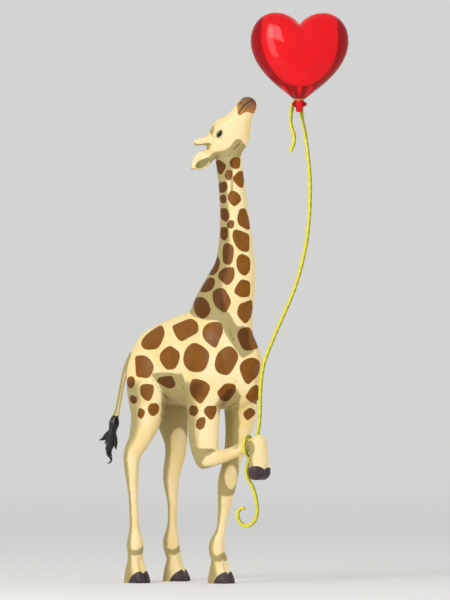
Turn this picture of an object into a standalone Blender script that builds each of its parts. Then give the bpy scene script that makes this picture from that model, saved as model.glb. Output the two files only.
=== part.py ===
"""A giraffe that stands on three hooves, looks up and holds a heart balloon by its string.

A painted cast garden figure. Metres, +Z up. The giraffe faces +X, and its raised foreleg, the near one, is
on its -Y side. Places and girths of the giraffe are in thousandths of its height, (forward, side, up), so
they are millimetres while it is a metre tall.
"""

import math

import bmesh
import bpy
import numpy
from mathutils import Matrix, Vector

# Driving sizes, in metres
giraffe_height = 1.000
balloon_width = 0.202
balloon_depth = 0.110
balloon_neck_radius = 0.0092
balloon_lip_radius = 0.0152
balloon_lip_flatness = 0.62
tie_height = 0.0032
tie_thickness = 0.0016
string_diameter = 0.008
string_clearance = 0.0006
wrap_clearance = 0.0034
fit_gap = 0.0003
cleft_width = 0.0050
mouth_width = 0.0020
mouth_depth = 0.0022

# The head, the heart and the curl are turned from the body's own heading
viewer_turn = math.radians(30)
head_lift = math.radians(58)
balloon_lean = math.radians(0.4)

# The middle of the whole work's outline on the floor, which stands on the origin
MIDDLE = (29.8, 16.9)

# How finely the casting is worked
skin_voxel = 0.0030
skin_smoothing = 6
skin_share_kept = 0.0345
ring_corners = 20
steps_between_stations = 5


def place(forward, side, up):
    """A place on the giraffe, from thousandths of its height."""
    return Vector((forward - MIDDLE[0], side - MIDDLE[1], up)) * (giraffe_height / 1000)


def share(thousandths):
    return thousandths * giraffe_height / 1000


VIEWER_RIGHT = Vector((math.cos(viewer_turn), math.sin(viewer_turn), 0))
VIEWER_BACK = Vector((-math.sin(viewer_turn), math.cos(viewer_turn), 0))
ACROSS = Vector((0, 1, 0))
UP = Vector((0, 0, 1))

# Each station is (forward, side, up, half girth fore and aft, half girth across)
TRUNK = [
    (-161, 0, 432, 12, 10),
    (-153, 0, 434, 37, 27),
    (-127, 0, 440, 65, 44),
    (-93, 0, 449, 81.5, 52),
    (-50, 0, 455, 93, 58),
    (0, 0, 460, 103, 61),
    (41, 0, 457, 102, 58),
    (84, 0, 434, 85, 50),
    (114, 0, 420, 63.5, 40),
    (132, 0, 413, 43, 29),
    (141, 0, 413, 26, 17),
]
NECK = [
    (45, 0, 470, 80, 46),
    (46, 0, 520, 76, 48),
    (55, 0, 563, 68, 45),
    (70, 0, 606, 58, 41),
    (83, 0, 650, 46, 36),
    (85, 0, 700, 36.5, 32),
    (82, 0, 757, 31, 28),
    (77, 0, 806, 28.5, 26),
    (72, 0, 847, 28, 24),
    (66, 0, 885, 29, 22),
]
TAIL = [
    (-144, 0, 484, 9, 10),
    (-160, 0, 470, 8.5, 9),
    (-175, 0, 444, 7.5, 8),
    (-186, 0, 408, 6.5, 7),
    (-192, 0, 377, 6.5, 6.5),
    (-199, 0, 348, 7, 7.5),
    (-207, 0, 322, 11.5, 12),
    (-215, 0, 294, 12, 13),
    (-221, 0, 266, 9, 9),
    (-227, 0, 241, 4, 4),
]
TAIL_LOCKS = [
    [(-210, 0, 312, 9, 9), (-225, -6, 286, 7, 7), (-240, -9, 270, 3.5, 3.5)],
    [(-213, 0, 302, 9, 9), (-209, 7, 270, 7, 7), (-214, 10, 246, 3.5, 3.5)],
    [(-213, 0, 302, 9, 9), (-214, -8, 274, 7, 7), (-208, -10, 252, 3.5, 3.5)],
]
# The shoulder and the haunch are laid on both sides
SHOULDER = [
    (30, 24, 545, 14, 10),
    (32, 34, 520, 30, 16),
    (38, 41, 485, 40, 20),
    (44, 44, 445, 44, 22),
    (44, 45, 405, 43, 22),
    (40, 44, 372, 34, 20),
]
HAUNCH = [
    (-108, 22, 494, 12, 10),
    (-110, 29, 477, 28, 18),
    (-108, 37, 452, 42, 24),
    (-101, 42, 415, 48, 26),
    (-92, 44, 378, 40, 24),
    (-86, 44, 352, 22, 18),
]
HIND_GIRTHS = [
    (44, 26),
    (46, 27),
    (43, 26),
    (35, 23),
    (24.5, 18),
    (19, 15.5),
    (11.4, 11),
    (10.8, 10.5),
    (18.5, 16.5),
    (14.5, 15),
]
FORE_GIRTHS = [
    (42, 24),
    (36, 24),
    (27, 21),
    (20, 17.5),
    (20.5, 18.5),
    (13, 13),
    (10.8, 10.5),
    (17.5, 16),
    (14.5, 15),
]
NEAR_HIND = [
    (-114, -22, 440),
    (-108, -34, 408),
    (-102, -40, 372),
    (-103, -44, 336),
    (-117, -48, 294),
    (-133, -52, 258),
    (-127, -56, 185),
    (-122, -59, 118),
    (-120, -60, 80),
    (-118, -61, 50),
]
FAR_HIND = [
    (-114, 22, 440),
    (-104, 34, 408),
    (-94, 40, 372),
    (-91, 44, 330),
    (-85, 48, 276),
    (-99, 52, 214),
    (-98, 56, 161),
    (-101, 59, 116),
    (-104, 60, 80),
    (-100, 61, 50),
]
FAR_FORE = [
    (80, 24, 420),
    (77, 33, 350),
    (72, 29, 298),
    (62, 23, 249),
    (54, 18, 203),
    (50, 12, 150),
    (45, 8, 109),
    (36, 6, 77),
    (39, 5, 50),
]
NEAR_FOREARM = [
    (26, -26, 430, 44, 26),
    (30, -38, 385, 41, 27),
    (34, -43, 350, 36, 25),
    (34, -45, 316, 35, 23),
    (37, -46, 284, 32, 21),
    (42, -47, 256, 26, 19),
    (46, -47, 239, 16, 13),
]
NEAR_CANNON = [
    (42, -47, 259, 20, 18),
    (66, -47, 260, 16, 15),
    (90, -47, 266, 13.5, 13.5),
    (114, -46, 275, 13, 13),
    (138, -45, 284, 13.5, 13.5),
    (158, -45, 290, 16, 16),
]
NEAR_HAND = [
    (158, -45, 306, 10, 10),
    (162, -45, 299, 16.5, 17),
    (166, -45, 282, 18, 19),
    (169, -45, 262, 17.5, 20),
    (170, -45, 242, 17, 19),
]
# Where each standing foot's pastern comes down, and its turn outwards in degrees
STANDING_FEET = {
    "near_hind": ((-117, -62, 0), -14),
    "far_hind": ((-96, 62, 0), 4),
    "far_fore": ((45, 4, 0), -6),
}
# A toe down its length: (height, forward offset, half length, half width)
TOE = [
    (60, -1, 12, 7),
    (42, -1, 15, 8.5),
    (27, -1, 20, 10),
    (13, 1, 26, 11),
    (0, 3, 29.5, 11.5),
    (-12, 3, 30, 11.5),
]
TOE_SPACING = 9
HAND_TOE = [
    (254, 0, 13, 9),
    (240, 0, 17.5, 11.5),
    (228, 1, 18.5, 12),
    (218, 1, 15, 10.5),
    (212, 1, 9, 6),
]
HAND_TOE_SPACING = 10
HAND_FORWARD = 168
HAND_SIDE = -45

# The head's own stations: (along the muzzle, towards the crown, half girth crown to jaw, half girth across)
HEAD_BASE = (57, -7, 901)
HEAD = [
    (-22, -2, 16, 12),
    (-14, 1, 27, 18),
    (2, 1, 37, 22),
    (20, -1, 42, 24),
    (38, -2, 40, 23.5),
    (54, -2, 33, 20.5),
    (70, -1, 25, 17),
    (88, 0, 21, 15.5),
    (102, -0.5, 19.5, 16.5),
    (111, -1.5, 15, 14),
    (117, -2, 7, 7),
]
# Paired forms of the head: (along, crown, out to the side, half girth, half thickness)
OSSICONE = [
    (9, 17, 8, 13, 12),
    (-5, 29, 10, 11, 10),
    (-14, 40, 13, 8, 8),
    (-21, 48, 16, 7.5, 7.5),
    (-26, 54, 18, 5.5, 5.5),
]
EAR = [
    (-8, 4, 14, 11, 8),
    (-24, 9, 20, 10.5, 7),
    (-40, 17, 27, 12.5, 6.5),
    (-55, 22, 33, 12, 5.5),
    (-67, 27, 36, 8, 4.5),
    (-74, 30, 38, 3.5, 3),
]
BROW = [(6, 27, 15, 6, 6), (21, 29, 18, 8, 7.5), (37, 23, 15, 5, 5)]
NOSTRIL_WING = [(88, 11, 10, 4, 4), (96, 13, 11.5, 6, 5), (104, 9, 11, 4, 4)]
EYE = (19.5, 17, 17)
EYE_GIRTH = 8.5
# Hollows: (along, crown, out to the side) and their half sizes the same way
EAR_HOLLOW = ((-48, 19, 36), (21, 7, 6))
NOSTRIL = ((95, 14.5, 16.5), (4, 1.8, 3.5))
MOUTH_LINE = [(75, 7), (90, 5), (103, 2.2), (112, -1.6), (126, -8)]

# The heart's outline: half widths go as a power of the sine, heights as a few cosines, in half widths
HEART_POWER = 2.36
HEART_COSINES = (0.986, 0.9418, -0.2375, -0.1267, -0.0301)
HEART_MIDDLE = 1.12
heart_corners = 42
heart_rings = 8
# The knot down from its tie, in metres: (height, radius), the lip being its widest
knot_rows = [
    (0.0100, 0.60 * balloon_neck_radius),
    (0.0020, balloon_neck_radius),
    (-0.0024, balloon_neck_radius),
    (-0.0058, 0.86 * balloon_lip_radius),
    (-0.0092, balloon_lip_radius),
    (-0.0126, 0.92 * balloon_lip_radius),
    (-0.0156, 0.58 * balloon_lip_radius),
    (-0.0178, 0.47 * balloon_lip_radius),
    (-0.0222, 0.46 * balloon_lip_radius),
    (-0.0252, 0.36 * balloon_lip_radius),
    (-0.0265, 0.12 * balloon_lip_radius),
]
knot_corners = 16
tie_corners = 24

# The balloon's tie, and the string's own stations
TIE = (208, 48, 997)
# From the tie, (to the viewer's right, back, up)
STRING_SHORT_END = [
    (-18.6, 13, -108),
    (-13.4, 13, -96),
    (-10.3, 13, -83.5),
    (-11.3, 13, -71),
    (-15.5, 14, -58.5),
    (-17.5, 15, -46),
    (-17.0, 15.4, -33),
]
STRING_BEND_MIDDLE = (-4.4, -13.5)
string_bend_radius = 0.0095
bend_corners = 10
STRING_FROM_BEND = [
    (5.0, 15.2, -28),
    (6.6, 12, -42.3),
    (10.7, 8, -61.4),
    (14, 5, -83.5),
]
STRING_RUN = [
    (223, 57, 886),
    (228, 57, 839),
    (230, 54, 790),
    (229, 50, 740),
    (224, 45, 691),
    (215, 37, 641),
    (202, 27, 592),
    (184, 14, 542),
    (167, 2, 493),
    (156, -8, 452),
    (152, -14, 405),
    (153, -18, 360),
    (152, -20, 330),
    (149, -23, 305),
]
WRAP = (147, -45, 286)
WRAP_STEP = -9
wrap_slope = 0.3
wrist_radius = 0.0135
wrap_corners = 20
STRING_HANG = [
    (134, -27, 262),
    (129, -31, 241),
    (129, -32, 228),
    (133, -29, 214),
    (140, -25, 200),
    (146, -22, 175),
    (148, -21, 150),
    (145, -23, 135),
    (139, -26, 126),
    (131, -31, 121),
    (122, -36, 123),
    (115, -40, 133),
    (113, -41, 144),
    (116, -39, 153),
    (121, -36, 157),
    (127, -33, 155),
]


def clear_scene():
    for leftover in list(bpy.data.objects):
        bpy.data.objects.remove(leftover, do_unlink=True)


def new_collection(name):
    collection = bpy.data.collections.new(name)
    bpy.context.scene.collection.children.link(collection)
    return collection


def painted(name, colour, roughness, metallic=0.0):
    material = bpy.data.materials.new(name)
    material.use_nodes = True
    shader = material.node_tree.nodes["Principled BSDF"]
    shader.inputs["Base Color"].default_value = (*colour, 1)
    shader.inputs["Roughness"].default_value = roughness
    shader.inputs["Metallic"].default_value = metallic
    material.diffuse_color = (*colour, 1)
    return material


def finished(name, mesh, material, collection, is_cutter=False):
    bmesh.ops.recalc_face_normals(mesh, faces=mesh.faces)
    data = bpy.data.meshes.new(name)
    mesh.to_mesh(data)
    mesh.free()
    made = bpy.data.objects.new(name, data)
    collection.objects.link(made)
    if material:
        data.materials.append(material)
    if is_cutter:
        made.hide_render = True
        made.display_type = "WIRE"
    return made


def join_by(target, other, operation):
    step = target.modifiers.new(f"{operation.lower()}_{other.name}"[:58], "BOOLEAN")
    step.operation = operation
    step.object = other


def smooth_curve(rows, steps):
    """Rows of numbers read from the Catmull-Rom curve through them, steps to each stretch."""
    padded = [rows[0], *rows, rows[-1]]
    made = []
    for i in range(1, len(padded) - 2):
        before, start, end, after = padded[i - 1 : i + 3]
        for k in range(steps):
            t = k / steps
            made.append(
                tuple(
                    0.5
                    * (
                        2 * b
                        + (c - a) * t
                        + (2 * a - 5 * b + 4 * c - d) * t * t
                        + (3 * b - a - 3 * c + d) * t * t * t
                    )
                    for a, b, c, d in zip(before, start, end, after)
                )
            )
    return [*made, tuple(rows[-1])]


def close_tube(mesh, rings):
    corners = len(rings[0])
    for lower, upper in zip(rings, rings[1:]):
        for k in range(corners):
            n = (k + 1) % corners
            mesh.faces.new((lower[k], lower[n], upper[n], upper[k]))
    mesh.faces.new(rings[0][::-1])
    mesh.faces.new(rings[-1])


def add_tube(mesh, stations, across, corners=ring_corners):
    """A closed round form through (centre, half girth fore and aft, half girth across)."""
    rings = []
    for i, (centre, fore, wide) in enumerate(stations):
        run = stations[min(i + 1, len(stations) - 1)][0] - stations[max(i - 1, 0)][0]
        side = (across - across.project(run)).normalized()
        front = side.cross(run).normalized()
        ring = []
        for k in range(corners):
            angle = 2 * math.pi * k / corners
            spot = centre + front * fore * math.cos(angle) + side * wide * math.sin(angle)
            ring.append(mesh.verts.new(spot))
        rings.append(ring)
    close_tube(mesh, rings)


def add_form(mesh, stations):
    """A round form through stations of the body."""
    rows = smooth_curve(stations, steps_between_stations)
    add_tube(mesh, [(place(*row[:3]), share(row[3]), share(row[4])) for row in rows], ACROSS)


def with_girths(joints, girths):
    return [(*joint, *girth) for joint, girth in zip(joints, girths)]


def on_side(stations, side):
    return [(forward, out * side, up, fore, wide) for forward, out, up, fore, wide in stations]


# Feet
def heading(degrees):
    """(forward, across) of a foot that is turned by so many degrees."""
    turned = Matrix.Rotation(math.radians(degrees), 3, "Z")
    return turned @ Vector((1, 0, 0)), turned @ ACROSS


def add_standing_foot(mesh, pastern, turn):
    forward, across = heading(turn)
    for toe_side in (-1, 1):
        stations = []
        for height, offset, length, width in smooth_curve(TOE, steps_between_stations):
            middle = place(*pastern) + forward * share(offset) + across * share(toe_side * TOE_SPACING)
            stations.append((middle + UP * share(height), share(length), share(width)))
        add_tube(mesh, stations, across)


def add_raised_hoof(mesh):
    for toe_side in (-1, 1):
        stations = [
            (
                place(HAND_FORWARD + offset, HAND_SIDE + toe_side * HAND_TOE_SPACING, height),
                share(length),
                share(width),
            )
            for height, offset, length, width in smooth_curve(HAND_TOE, steps_between_stations)
        ]
        add_tube(mesh, stations, ACROSS)


def cleft_cutter(name, middle, turn, height, reach, cutters):
    """A thin wedge that parts two toes from the front."""
    forward, across = heading(turn)
    mesh = bmesh.new()
    turned = Matrix((forward, across, UP)).transposed().to_4x4()
    turned.translation = middle
    bmesh.ops.create_cube(mesh, size=1, matrix=turned @ Matrix.Diagonal((reach, cleft_width, height, 1)))
    for corner in mesh.verts:
        if (corner.co - middle).dot(forward) < 0:
            corner.co -= across * (corner.co - middle).dot(across) * 0.8
    return finished(name, mesh, None, cutters, is_cutter=True)


# The head
HEAD_ALONG = VIEWER_RIGHT * math.cos(head_lift) + UP * math.sin(head_lift)
HEAD_CROWN = UP * math.cos(head_lift) - VIEWER_RIGHT * math.sin(head_lift)
HEAD_OUT = -VIEWER_BACK


def head_place(along, crown, out):
    return place(*HEAD_BASE) + HEAD_ALONG * share(along) + HEAD_CROWN * share(crown) + HEAD_OUT * share(out)


def add_head_form(mesh, rows, side):
    stations = [
        (head_place(along, crown, out * side), share(wide), share(thick))
        for along, crown, out, wide, thick in smooth_curve(rows, steps_between_stations)
    ]
    add_tube(mesh, stations, VIEWER_BACK)


def skull_stations(inset=0.0):
    """The skull's stations, or its core an inset under the skin."""
    return [
        (head_place(along, crown, 0), share(deep) - inset, share(wide) - inset)
        for along, crown, deep, wide in smooth_curve(HEAD, steps_between_stations)
        if min(share(deep), share(wide)) > 2 * inset
    ]


def add_ball(mesh, centre, half_sizes):
    """A ball in the head's frame, its half sizes along, to the crown and outwards."""
    turned = Matrix((HEAD_ALONG, HEAD_CROWN, HEAD_OUT)).transposed().to_4x4()
    turned.translation = centre
    scaled = turned @ Matrix.Diagonal((*half_sizes, 1))
    bmesh.ops.create_uvsphere(mesh, u_segments=14, v_segments=8, radius=1, matrix=scaled)


def add_head(mesh):
    add_tube(mesh, skull_stations(), VIEWER_BACK)
    along, crown, out = EYE
    for side in (-1, 1):
        for rows in (OSSICONE, EAR, BROW, NOSTRIL_WING):
            add_head_form(mesh, rows, side)
        add_ball(mesh, head_place(along, crown, out * side), [share(EYE_GIRTH)] * 3)


def hollow_cutter(name, centre, half_sizes, side, cutters):
    mesh = bmesh.new()
    along, crown, out = centre
    add_ball(mesh, head_place(along, crown, out * side), [share(half) for half in half_sizes])
    return finished(name, mesh, None, cutters, is_cutter=True)


def mouth_cutter(cutters):
    """A thin curved blade across the muzzle, hollowed out so that it only scores the skin."""
    mesh = bmesh.new()
    rings = []
    for along, crown in smooth_curve(MOUTH_LINE, 3):
        rings.append(
            [
                mesh.verts.new(head_place(along, crown, out) + HEAD_CROWN * lift)
                for out, lift in (
                    (-30, -mouth_width / 2),
                    (30, -mouth_width / 2),
                    (30, mouth_width / 2),
                    (-30, mouth_width / 2),
                )
            ]
        )
    close_tube(mesh, rings)
    blade = finished("mouth_cutter", mesh, None, cutters, is_cutter=True)
    core = bmesh.new()
    add_tube(core, skull_stations(mouth_depth), VIEWER_BACK)
    join_by(blade, finished("mouth_core", core, None, cutters, is_cutter=True), "DIFFERENCE")
    return blade


# The whole casting
def make_giraffe(parts, cutters):
    mesh = bmesh.new()
    for stations in (TRUNK, NECK, TAIL, NEAR_FOREARM, NEAR_CANNON, NEAR_HAND, *TAIL_LOCKS):
        add_form(mesh, stations)
    for side in (-1, 1):
        add_form(mesh, on_side(SHOULDER, side))
        add_form(mesh, on_side(HAUNCH, side))
    for joints, girths in ((NEAR_HIND, HIND_GIRTHS), (FAR_HIND, HIND_GIRTHS), (FAR_FORE, FORE_GIRTHS)):
        add_form(mesh, with_girths(joints, girths))
    for pastern, turn in STANDING_FEET.values():
        add_standing_foot(mesh, pastern, turn)
    add_raised_hoof(mesh)
    add_head(mesh)
    coat = painted("giraffe_coat", (0.90, 0.74, 0.44), 0.45)
    giraffe = finished("giraffe", mesh, coat, parts)

    skin = giraffe.modifiers.new("one_skin", "REMESH")
    skin.mode = "VOXEL"
    skin.voxel_size = skin_voxel * giraffe_height
    smooth = giraffe.modifiers.new("blended", "SMOOTH")
    smooth.factor = 0.5
    smooth.iterations = skin_smoothing
    fewer = giraffe.modifiers.new("fewer_faces", "DECIMATE")
    fewer.ratio = skin_share_kept

    floor = bmesh.new()
    depth = share(60)
    slab = Matrix.Diagonal((giraffe_height, giraffe_height, depth, 1))
    bmesh.ops.create_cube(floor, size=1, matrix=Matrix.Translation((0, 0, -depth / 2)) @ slab)
    join_by(giraffe, finished("floor_cutter", floor, None, cutters, is_cutter=True), "DIFFERENCE")

    for name, (pastern, turn) in STANDING_FEET.items():
        middle = place(*pastern) + heading(turn)[0] * share(29)
        cleft = cleft_cutter(f"{name}_cleft", middle, turn, share(52), share(24), cutters)
        join_by(giraffe, cleft, "DIFFERENCE")
    middle = place(HAND_FORWARD + 13, HAND_SIDE, 220)
    cleft = cleft_cutter("near_fore_cleft", middle, 0, share(46), share(28), cutters)
    join_by(giraffe, cleft, "DIFFERENCE")
    for side, side_name in ((1, "near"), (-1, "far")):
        for form, name in ((EAR_HOLLOW, "ear_hollow"), (NOSTRIL, "nostril")):
            hollow = hollow_cutter(f"{side_name}_{name}", *form, side, cutters)
            join_by(giraffe, hollow, "DIFFERENCE")
    join_by(giraffe, mouth_cutter(cutters), "DIFFERENCE")


# The balloon
def beside_tie(right, back, up):
    """A place from the tie, in metres to the viewer's right, back and up."""
    return place(*TIE) + VIEWER_RIGHT * right + VIEWER_BACK * back + UP * up


def heart_place(right, back, up):
    """The same for the balloon, which leans a little."""
    lean = balloon_lean
    return beside_tie(
        right * math.cos(lean) + up * math.sin(lean), back, up * math.cos(lean) - right * math.sin(lean)
    )


def heart_outline():
    """(right, up) round the heart from its tie, in even steps."""
    fine = []
    for k in range(2001):
        angle = 2 * math.pi * k / 2000
        wide = math.copysign(abs(math.sin(angle)) ** HEART_POWER, math.sin(angle))
        tall = sum(part * math.cos(order * angle) for order, part in enumerate(HEART_COSINES))
        fine.append((wide * balloon_width / 2, tall * balloon_width / 2))
    fine = numpy.array(fine)
    walked = numpy.concatenate(([0], numpy.cumsum(numpy.linalg.norm(numpy.diff(fine, axis=0), axis=1))))
    half = heart_corners // 2
    stops = numpy.linspace(0, walked[1000], half + 1)
    right = numpy.interp(stops, walked, fine[:, 0])
    up = numpy.interp(stops, walked, fine[:, 1])
    mirrored = list(zip(-right[half - 1 : 0 : -1], up[half - 1 : 0 : -1]))
    return [*zip(right, up), *mirrored]


def film_heights(spots, triangles, rim_count):
    """How far a film blown over the flat shape stands off it at each spot, by linear elements."""
    count = len(spots)
    stiffness = numpy.zeros((count, count))
    load = numpy.zeros(count)
    for triangle in triangles:
        corners = spots[list(triangle)]
        edges = numpy.roll(corners, -2, axis=0) - numpy.roll(corners, -1, axis=0)
        area = abs(edges[0][0] * edges[1][1] - edges[0][1] * edges[1][0]) / 2
        stiffness[numpy.ix_(triangle, triangle)] += edges @ edges.T / (4 * area)
        load[list(triangle)] += area / 3
    heights = numpy.zeros(count)
    free = slice(rim_count, count)
    heights[free] = numpy.linalg.solve(stiffness[free, free], load[free])
    return heights


def add_heart(mesh):
    outline = numpy.array(heart_outline())
    corners = len(outline)
    middle = numpy.array((0, HEART_MIDDLE * balloon_width / 2))
    shrunk = [math.cos(k / heart_rings * math.pi / 2) for k in range(heart_rings)]
    spots = numpy.concatenate([*(middle + (outline - middle) * part for part in shrunk), [middle]])
    triangles = []
    for ring in range(heart_rings - 1):
        for k in range(corners):
            n = (k + 1) % corners
            a, b = ring * corners + k, ring * corners + n
            triangles += [(a, b, b + corners), (a, b + corners, a + corners)]
    last = (heart_rings - 1) * corners
    triangles += [(last + k, last + (k + 1) % corners, len(spots) - 1) for k in range(corners)]
    blown = numpy.sqrt(film_heights(spots, triangles, corners))
    blown *= balloon_depth / 2 / blown.max()
    rim = [mesh.verts.new(heart_place(x, 0, z)) for x, z in outline]
    for face in (-1, 1):
        raised = zip(spots[corners:], face * blown[corners:])
        inner = [mesh.verts.new(heart_place(x, height, z)) for (x, z), height in raised]
        every = [*rim, *inner]
        for triangle in triangles:
            mesh.faces.new([every[i] for i in triangle])


def make_balloon(parts, cutters):
    mesh = bmesh.new()
    add_heart(mesh)
    skin = painted("balloon_skin", (0.80, 0.02, 0.03), 0.12)
    balloon = finished("balloon", mesh, skin, parts)
    foot = bmesh.new()
    depth = balloon_width / 2
    top = tie_height / 2 + fit_gap
    slab = Matrix.Translation(beside_tie(0, 0, top - depth / 2)) @ Matrix.Diagonal((depth, depth, depth, 1))
    bmesh.ops.create_cube(foot, size=1, matrix=slab)
    join_by(balloon, finished("heart_foot_cutter", foot, None, cutters, is_cutter=True), "DIFFERENCE")
    knot = bmesh.new()
    stations = []
    for height, radius in knot_rows:
        open_share = (radius - balloon_neck_radius) / (balloon_lip_radius - balloon_neck_radius)
        flat = 1 - (1 - balloon_lip_flatness) * max(0.0, open_share)
        stations.append((beside_tie(0, 0, height), radius, radius * flat))
    add_tube(knot, stations, VIEWER_BACK, knot_corners)
    join_by(balloon, finished("knot_form", knot, skin, cutters, is_cutter=True), "UNION")


def make_tie(parts):
    inner = balloon_neck_radius + fit_gap
    outer = inner + tie_thickness
    half = tie_height / 2
    soft = tie_thickness * 0.35
    profile = [
        (inner, -half),
        (outer - soft, -half),
        (outer, soft - half),
        (outer, half - soft),
        (outer - soft, half),
        (inner, half),
    ]
    mesh = bmesh.new()
    rings = []
    for k in range(tie_corners):
        angle = 2 * math.pi * k / tie_corners
        out = (math.cos(angle), math.sin(angle))
        spots = [beside_tie(out[0] * radius, out[1] * radius, up) for radius, up in profile]
        rings.append([mesh.verts.new(spot) for spot in spots])
    for k in range(tie_corners):
        ring, after = rings[k], rings[(k + 1) % tie_corners]
        for i in range(len(profile)):
            n = (i + 1) % len(profile)
            mesh.faces.new((ring[i], ring[n], after[n], after[i]))
    finished("balloon_tie", mesh, painted("tie_gold", (0.80, 0.58, 0.20), 0.3, 0.6), parts)


# The string
def string_points():
    back = balloon_neck_radius + fit_gap + tie_thickness + string_clearance + string_diameter / 2
    from_tie = [beside_tie(*(share(value) for value in row)) for row in STRING_SHORT_END]
    points = [Vector(row) for row in smooth_curve([tuple(spot) for spot in from_tie], 2)]
    right, up = (share(value) for value in STRING_BEND_MIDDLE)
    for k in range(bend_corners + 1):
        angle = math.pi * (1 - k / bend_corners)
        out = (string_bend_radius * math.cos(angle), string_bend_radius * math.sin(angle))
        points.append(beside_tie(right + out[0], back, up + out[1]))
    run = [points[-1]]
    run += [beside_tie(*(share(value) for value in row)) for row in STRING_FROM_BEND]
    run += [place(*row) for row in STRING_RUN]
    wrap = []
    radius = wrist_radius * giraffe_height + wrap_clearance + string_diameter / 2
    for k in range(wrap_corners + 1):
        turn = 2 * math.pi * k / wrap_corners
        forward = WRAP[0] + WRAP_STEP * k / wrap_corners
        middle = place(forward, WRAP[1], WRAP[2] + wrap_slope * (forward - WRAP[0]))
        wrap.append(middle + ACROSS * radius * math.cos(turn) - UP * radius * math.sin(turn))
    points += [Vector(row) for row in smooth_curve([tuple(spot) for spot in [*run, wrap[0]]], 2)][1:]
    points += wrap[1:]
    hang = [wrap[-1], *(place(*row) for row in STRING_HANG)]
    points += [Vector(row) for row in smooth_curve([tuple(spot) for spot in hang], 2)][1:]
    return points


def make_string(parts):
    curve = bpy.data.curves.new("balloon_string", "CURVE")
    curve.dimensions = "3D"
    curve.bevel_depth = string_diameter / 2
    curve.bevel_resolution = 2
    curve.use_fill_caps = True
    points = string_points()
    spline = curve.splines.new("POLY")
    spline.points.add(len(points) - 1)
    for spot, point in zip(points, spline.points):
        point.co = (*spot, 1)
    curve.materials.append(painted("string_yellow", (0.87, 0.83, 0.10), 0.5))
    parts.objects.link(bpy.data.objects.new("balloon_string", curve))


def main():
    clear_scene()
    parts = new_collection("giraffe_with_balloon")
    cutters = new_collection("cutters")
    make_giraffe(parts, cutters)
    make_balloon(parts, cutters)
    make_tie(parts)
    make_string(parts)


main()
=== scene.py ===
"""A painted cast giraffe that looks up and holds a glossy heart balloon by a twisted yellow cord.

Metres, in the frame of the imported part: +Z up, the giraffe faces +X and its raised foreleg is on its -Y side.
Places are in thousandths of the giraffe's height: (forward, side, up) on the body, (along the muzzle, towards
the crown, out) on the head, and (right, up) for what is laid on the skin as the viewer sees it, who stands
before the near side, turned towards the chest.
"""

import math
from contextlib import contextmanager

import bpy
import numpy as np
from mathutils import Matrix, Vector
from mathutils.bvhtree import BVHTree
from mathutils.kdtree import KDTree


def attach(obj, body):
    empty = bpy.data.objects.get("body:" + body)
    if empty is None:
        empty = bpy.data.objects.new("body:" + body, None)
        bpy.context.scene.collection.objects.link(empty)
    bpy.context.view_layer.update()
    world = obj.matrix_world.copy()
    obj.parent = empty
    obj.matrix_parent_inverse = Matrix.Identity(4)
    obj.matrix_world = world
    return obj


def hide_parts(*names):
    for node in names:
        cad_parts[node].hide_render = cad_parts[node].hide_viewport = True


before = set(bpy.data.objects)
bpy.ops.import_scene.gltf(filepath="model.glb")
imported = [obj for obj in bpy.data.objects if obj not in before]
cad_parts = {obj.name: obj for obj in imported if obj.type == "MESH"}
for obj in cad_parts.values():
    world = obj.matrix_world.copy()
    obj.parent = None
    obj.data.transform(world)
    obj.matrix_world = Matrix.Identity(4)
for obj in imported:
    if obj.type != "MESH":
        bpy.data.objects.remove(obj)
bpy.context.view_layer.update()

# Driving sizes, in metres
giraffe_height = 1.000
balloon_width = 0.202
balloon_depth = 0.110
balloon_neck_radius = 0.0092
balloon_lip_radius = 0.0152
balloon_lip_flatness = 0.62
tie_height = 0.0032
tie_thickness = 0.0016
string_diameter = 0.008
string_clearance = 0.0006
wrap_clearance = 0.0034
fit_gap = 0.0003
viewer_turn = math.radians(30)
head_lift = math.radians(58)
balloon_lean = math.radians(0.4)
MIDDLE = (29.8, 16.9)

# The photograph's frame: its height in metres at the object, and where its middle is
picture_height = 1.237
picture_middle = (0.0173, 0.5835)
camera_lens = 800
camera_rise = math.radians(1.0)

UP = Vector((0, 0, 1))
ACROSS = Vector((0, 1, 0))
VIEWER_RIGHT = Vector((math.cos(viewer_turn), math.sin(viewer_turn), 0))
VIEWER_BACK = Vector((-math.sin(viewer_turn), math.cos(viewer_turn), 0))
HEAD_ALONG = VIEWER_RIGHT * math.cos(head_lift) + UP * math.sin(head_lift)
HEAD_CROWN = UP * math.cos(head_lift) - VIEWER_RIGHT * math.sin(head_lift)
HEAD_OUT = -VIEWER_BACK
HEAD_BASE = (57, -7, 901)


def share(thousandths):
    return thousandths * giraffe_height / 1000


def place(forward, side, up):
    """A place on the body."""
    return Vector((share(forward - MIDDLE[0]), share(side - MIDDLE[1]), share(up)))


def seen(right, up, back):
    """A place as the viewer sees it, the viewer's right, up and away from the viewer."""
    return place(0, 0, 0) + VIEWER_RIGHT * share(right) + UP * share(up) + VIEWER_BACK * share(back)


def colour(*chart):
    """A paint colour from its red, green and blue on a chart, 0 to 255, in the scene's own light values."""
    return tuple(((c / 255 + 0.055) / 1.055) ** 2.4 if c > 10 else c / 255 / 12.92 for c in chart)


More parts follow.
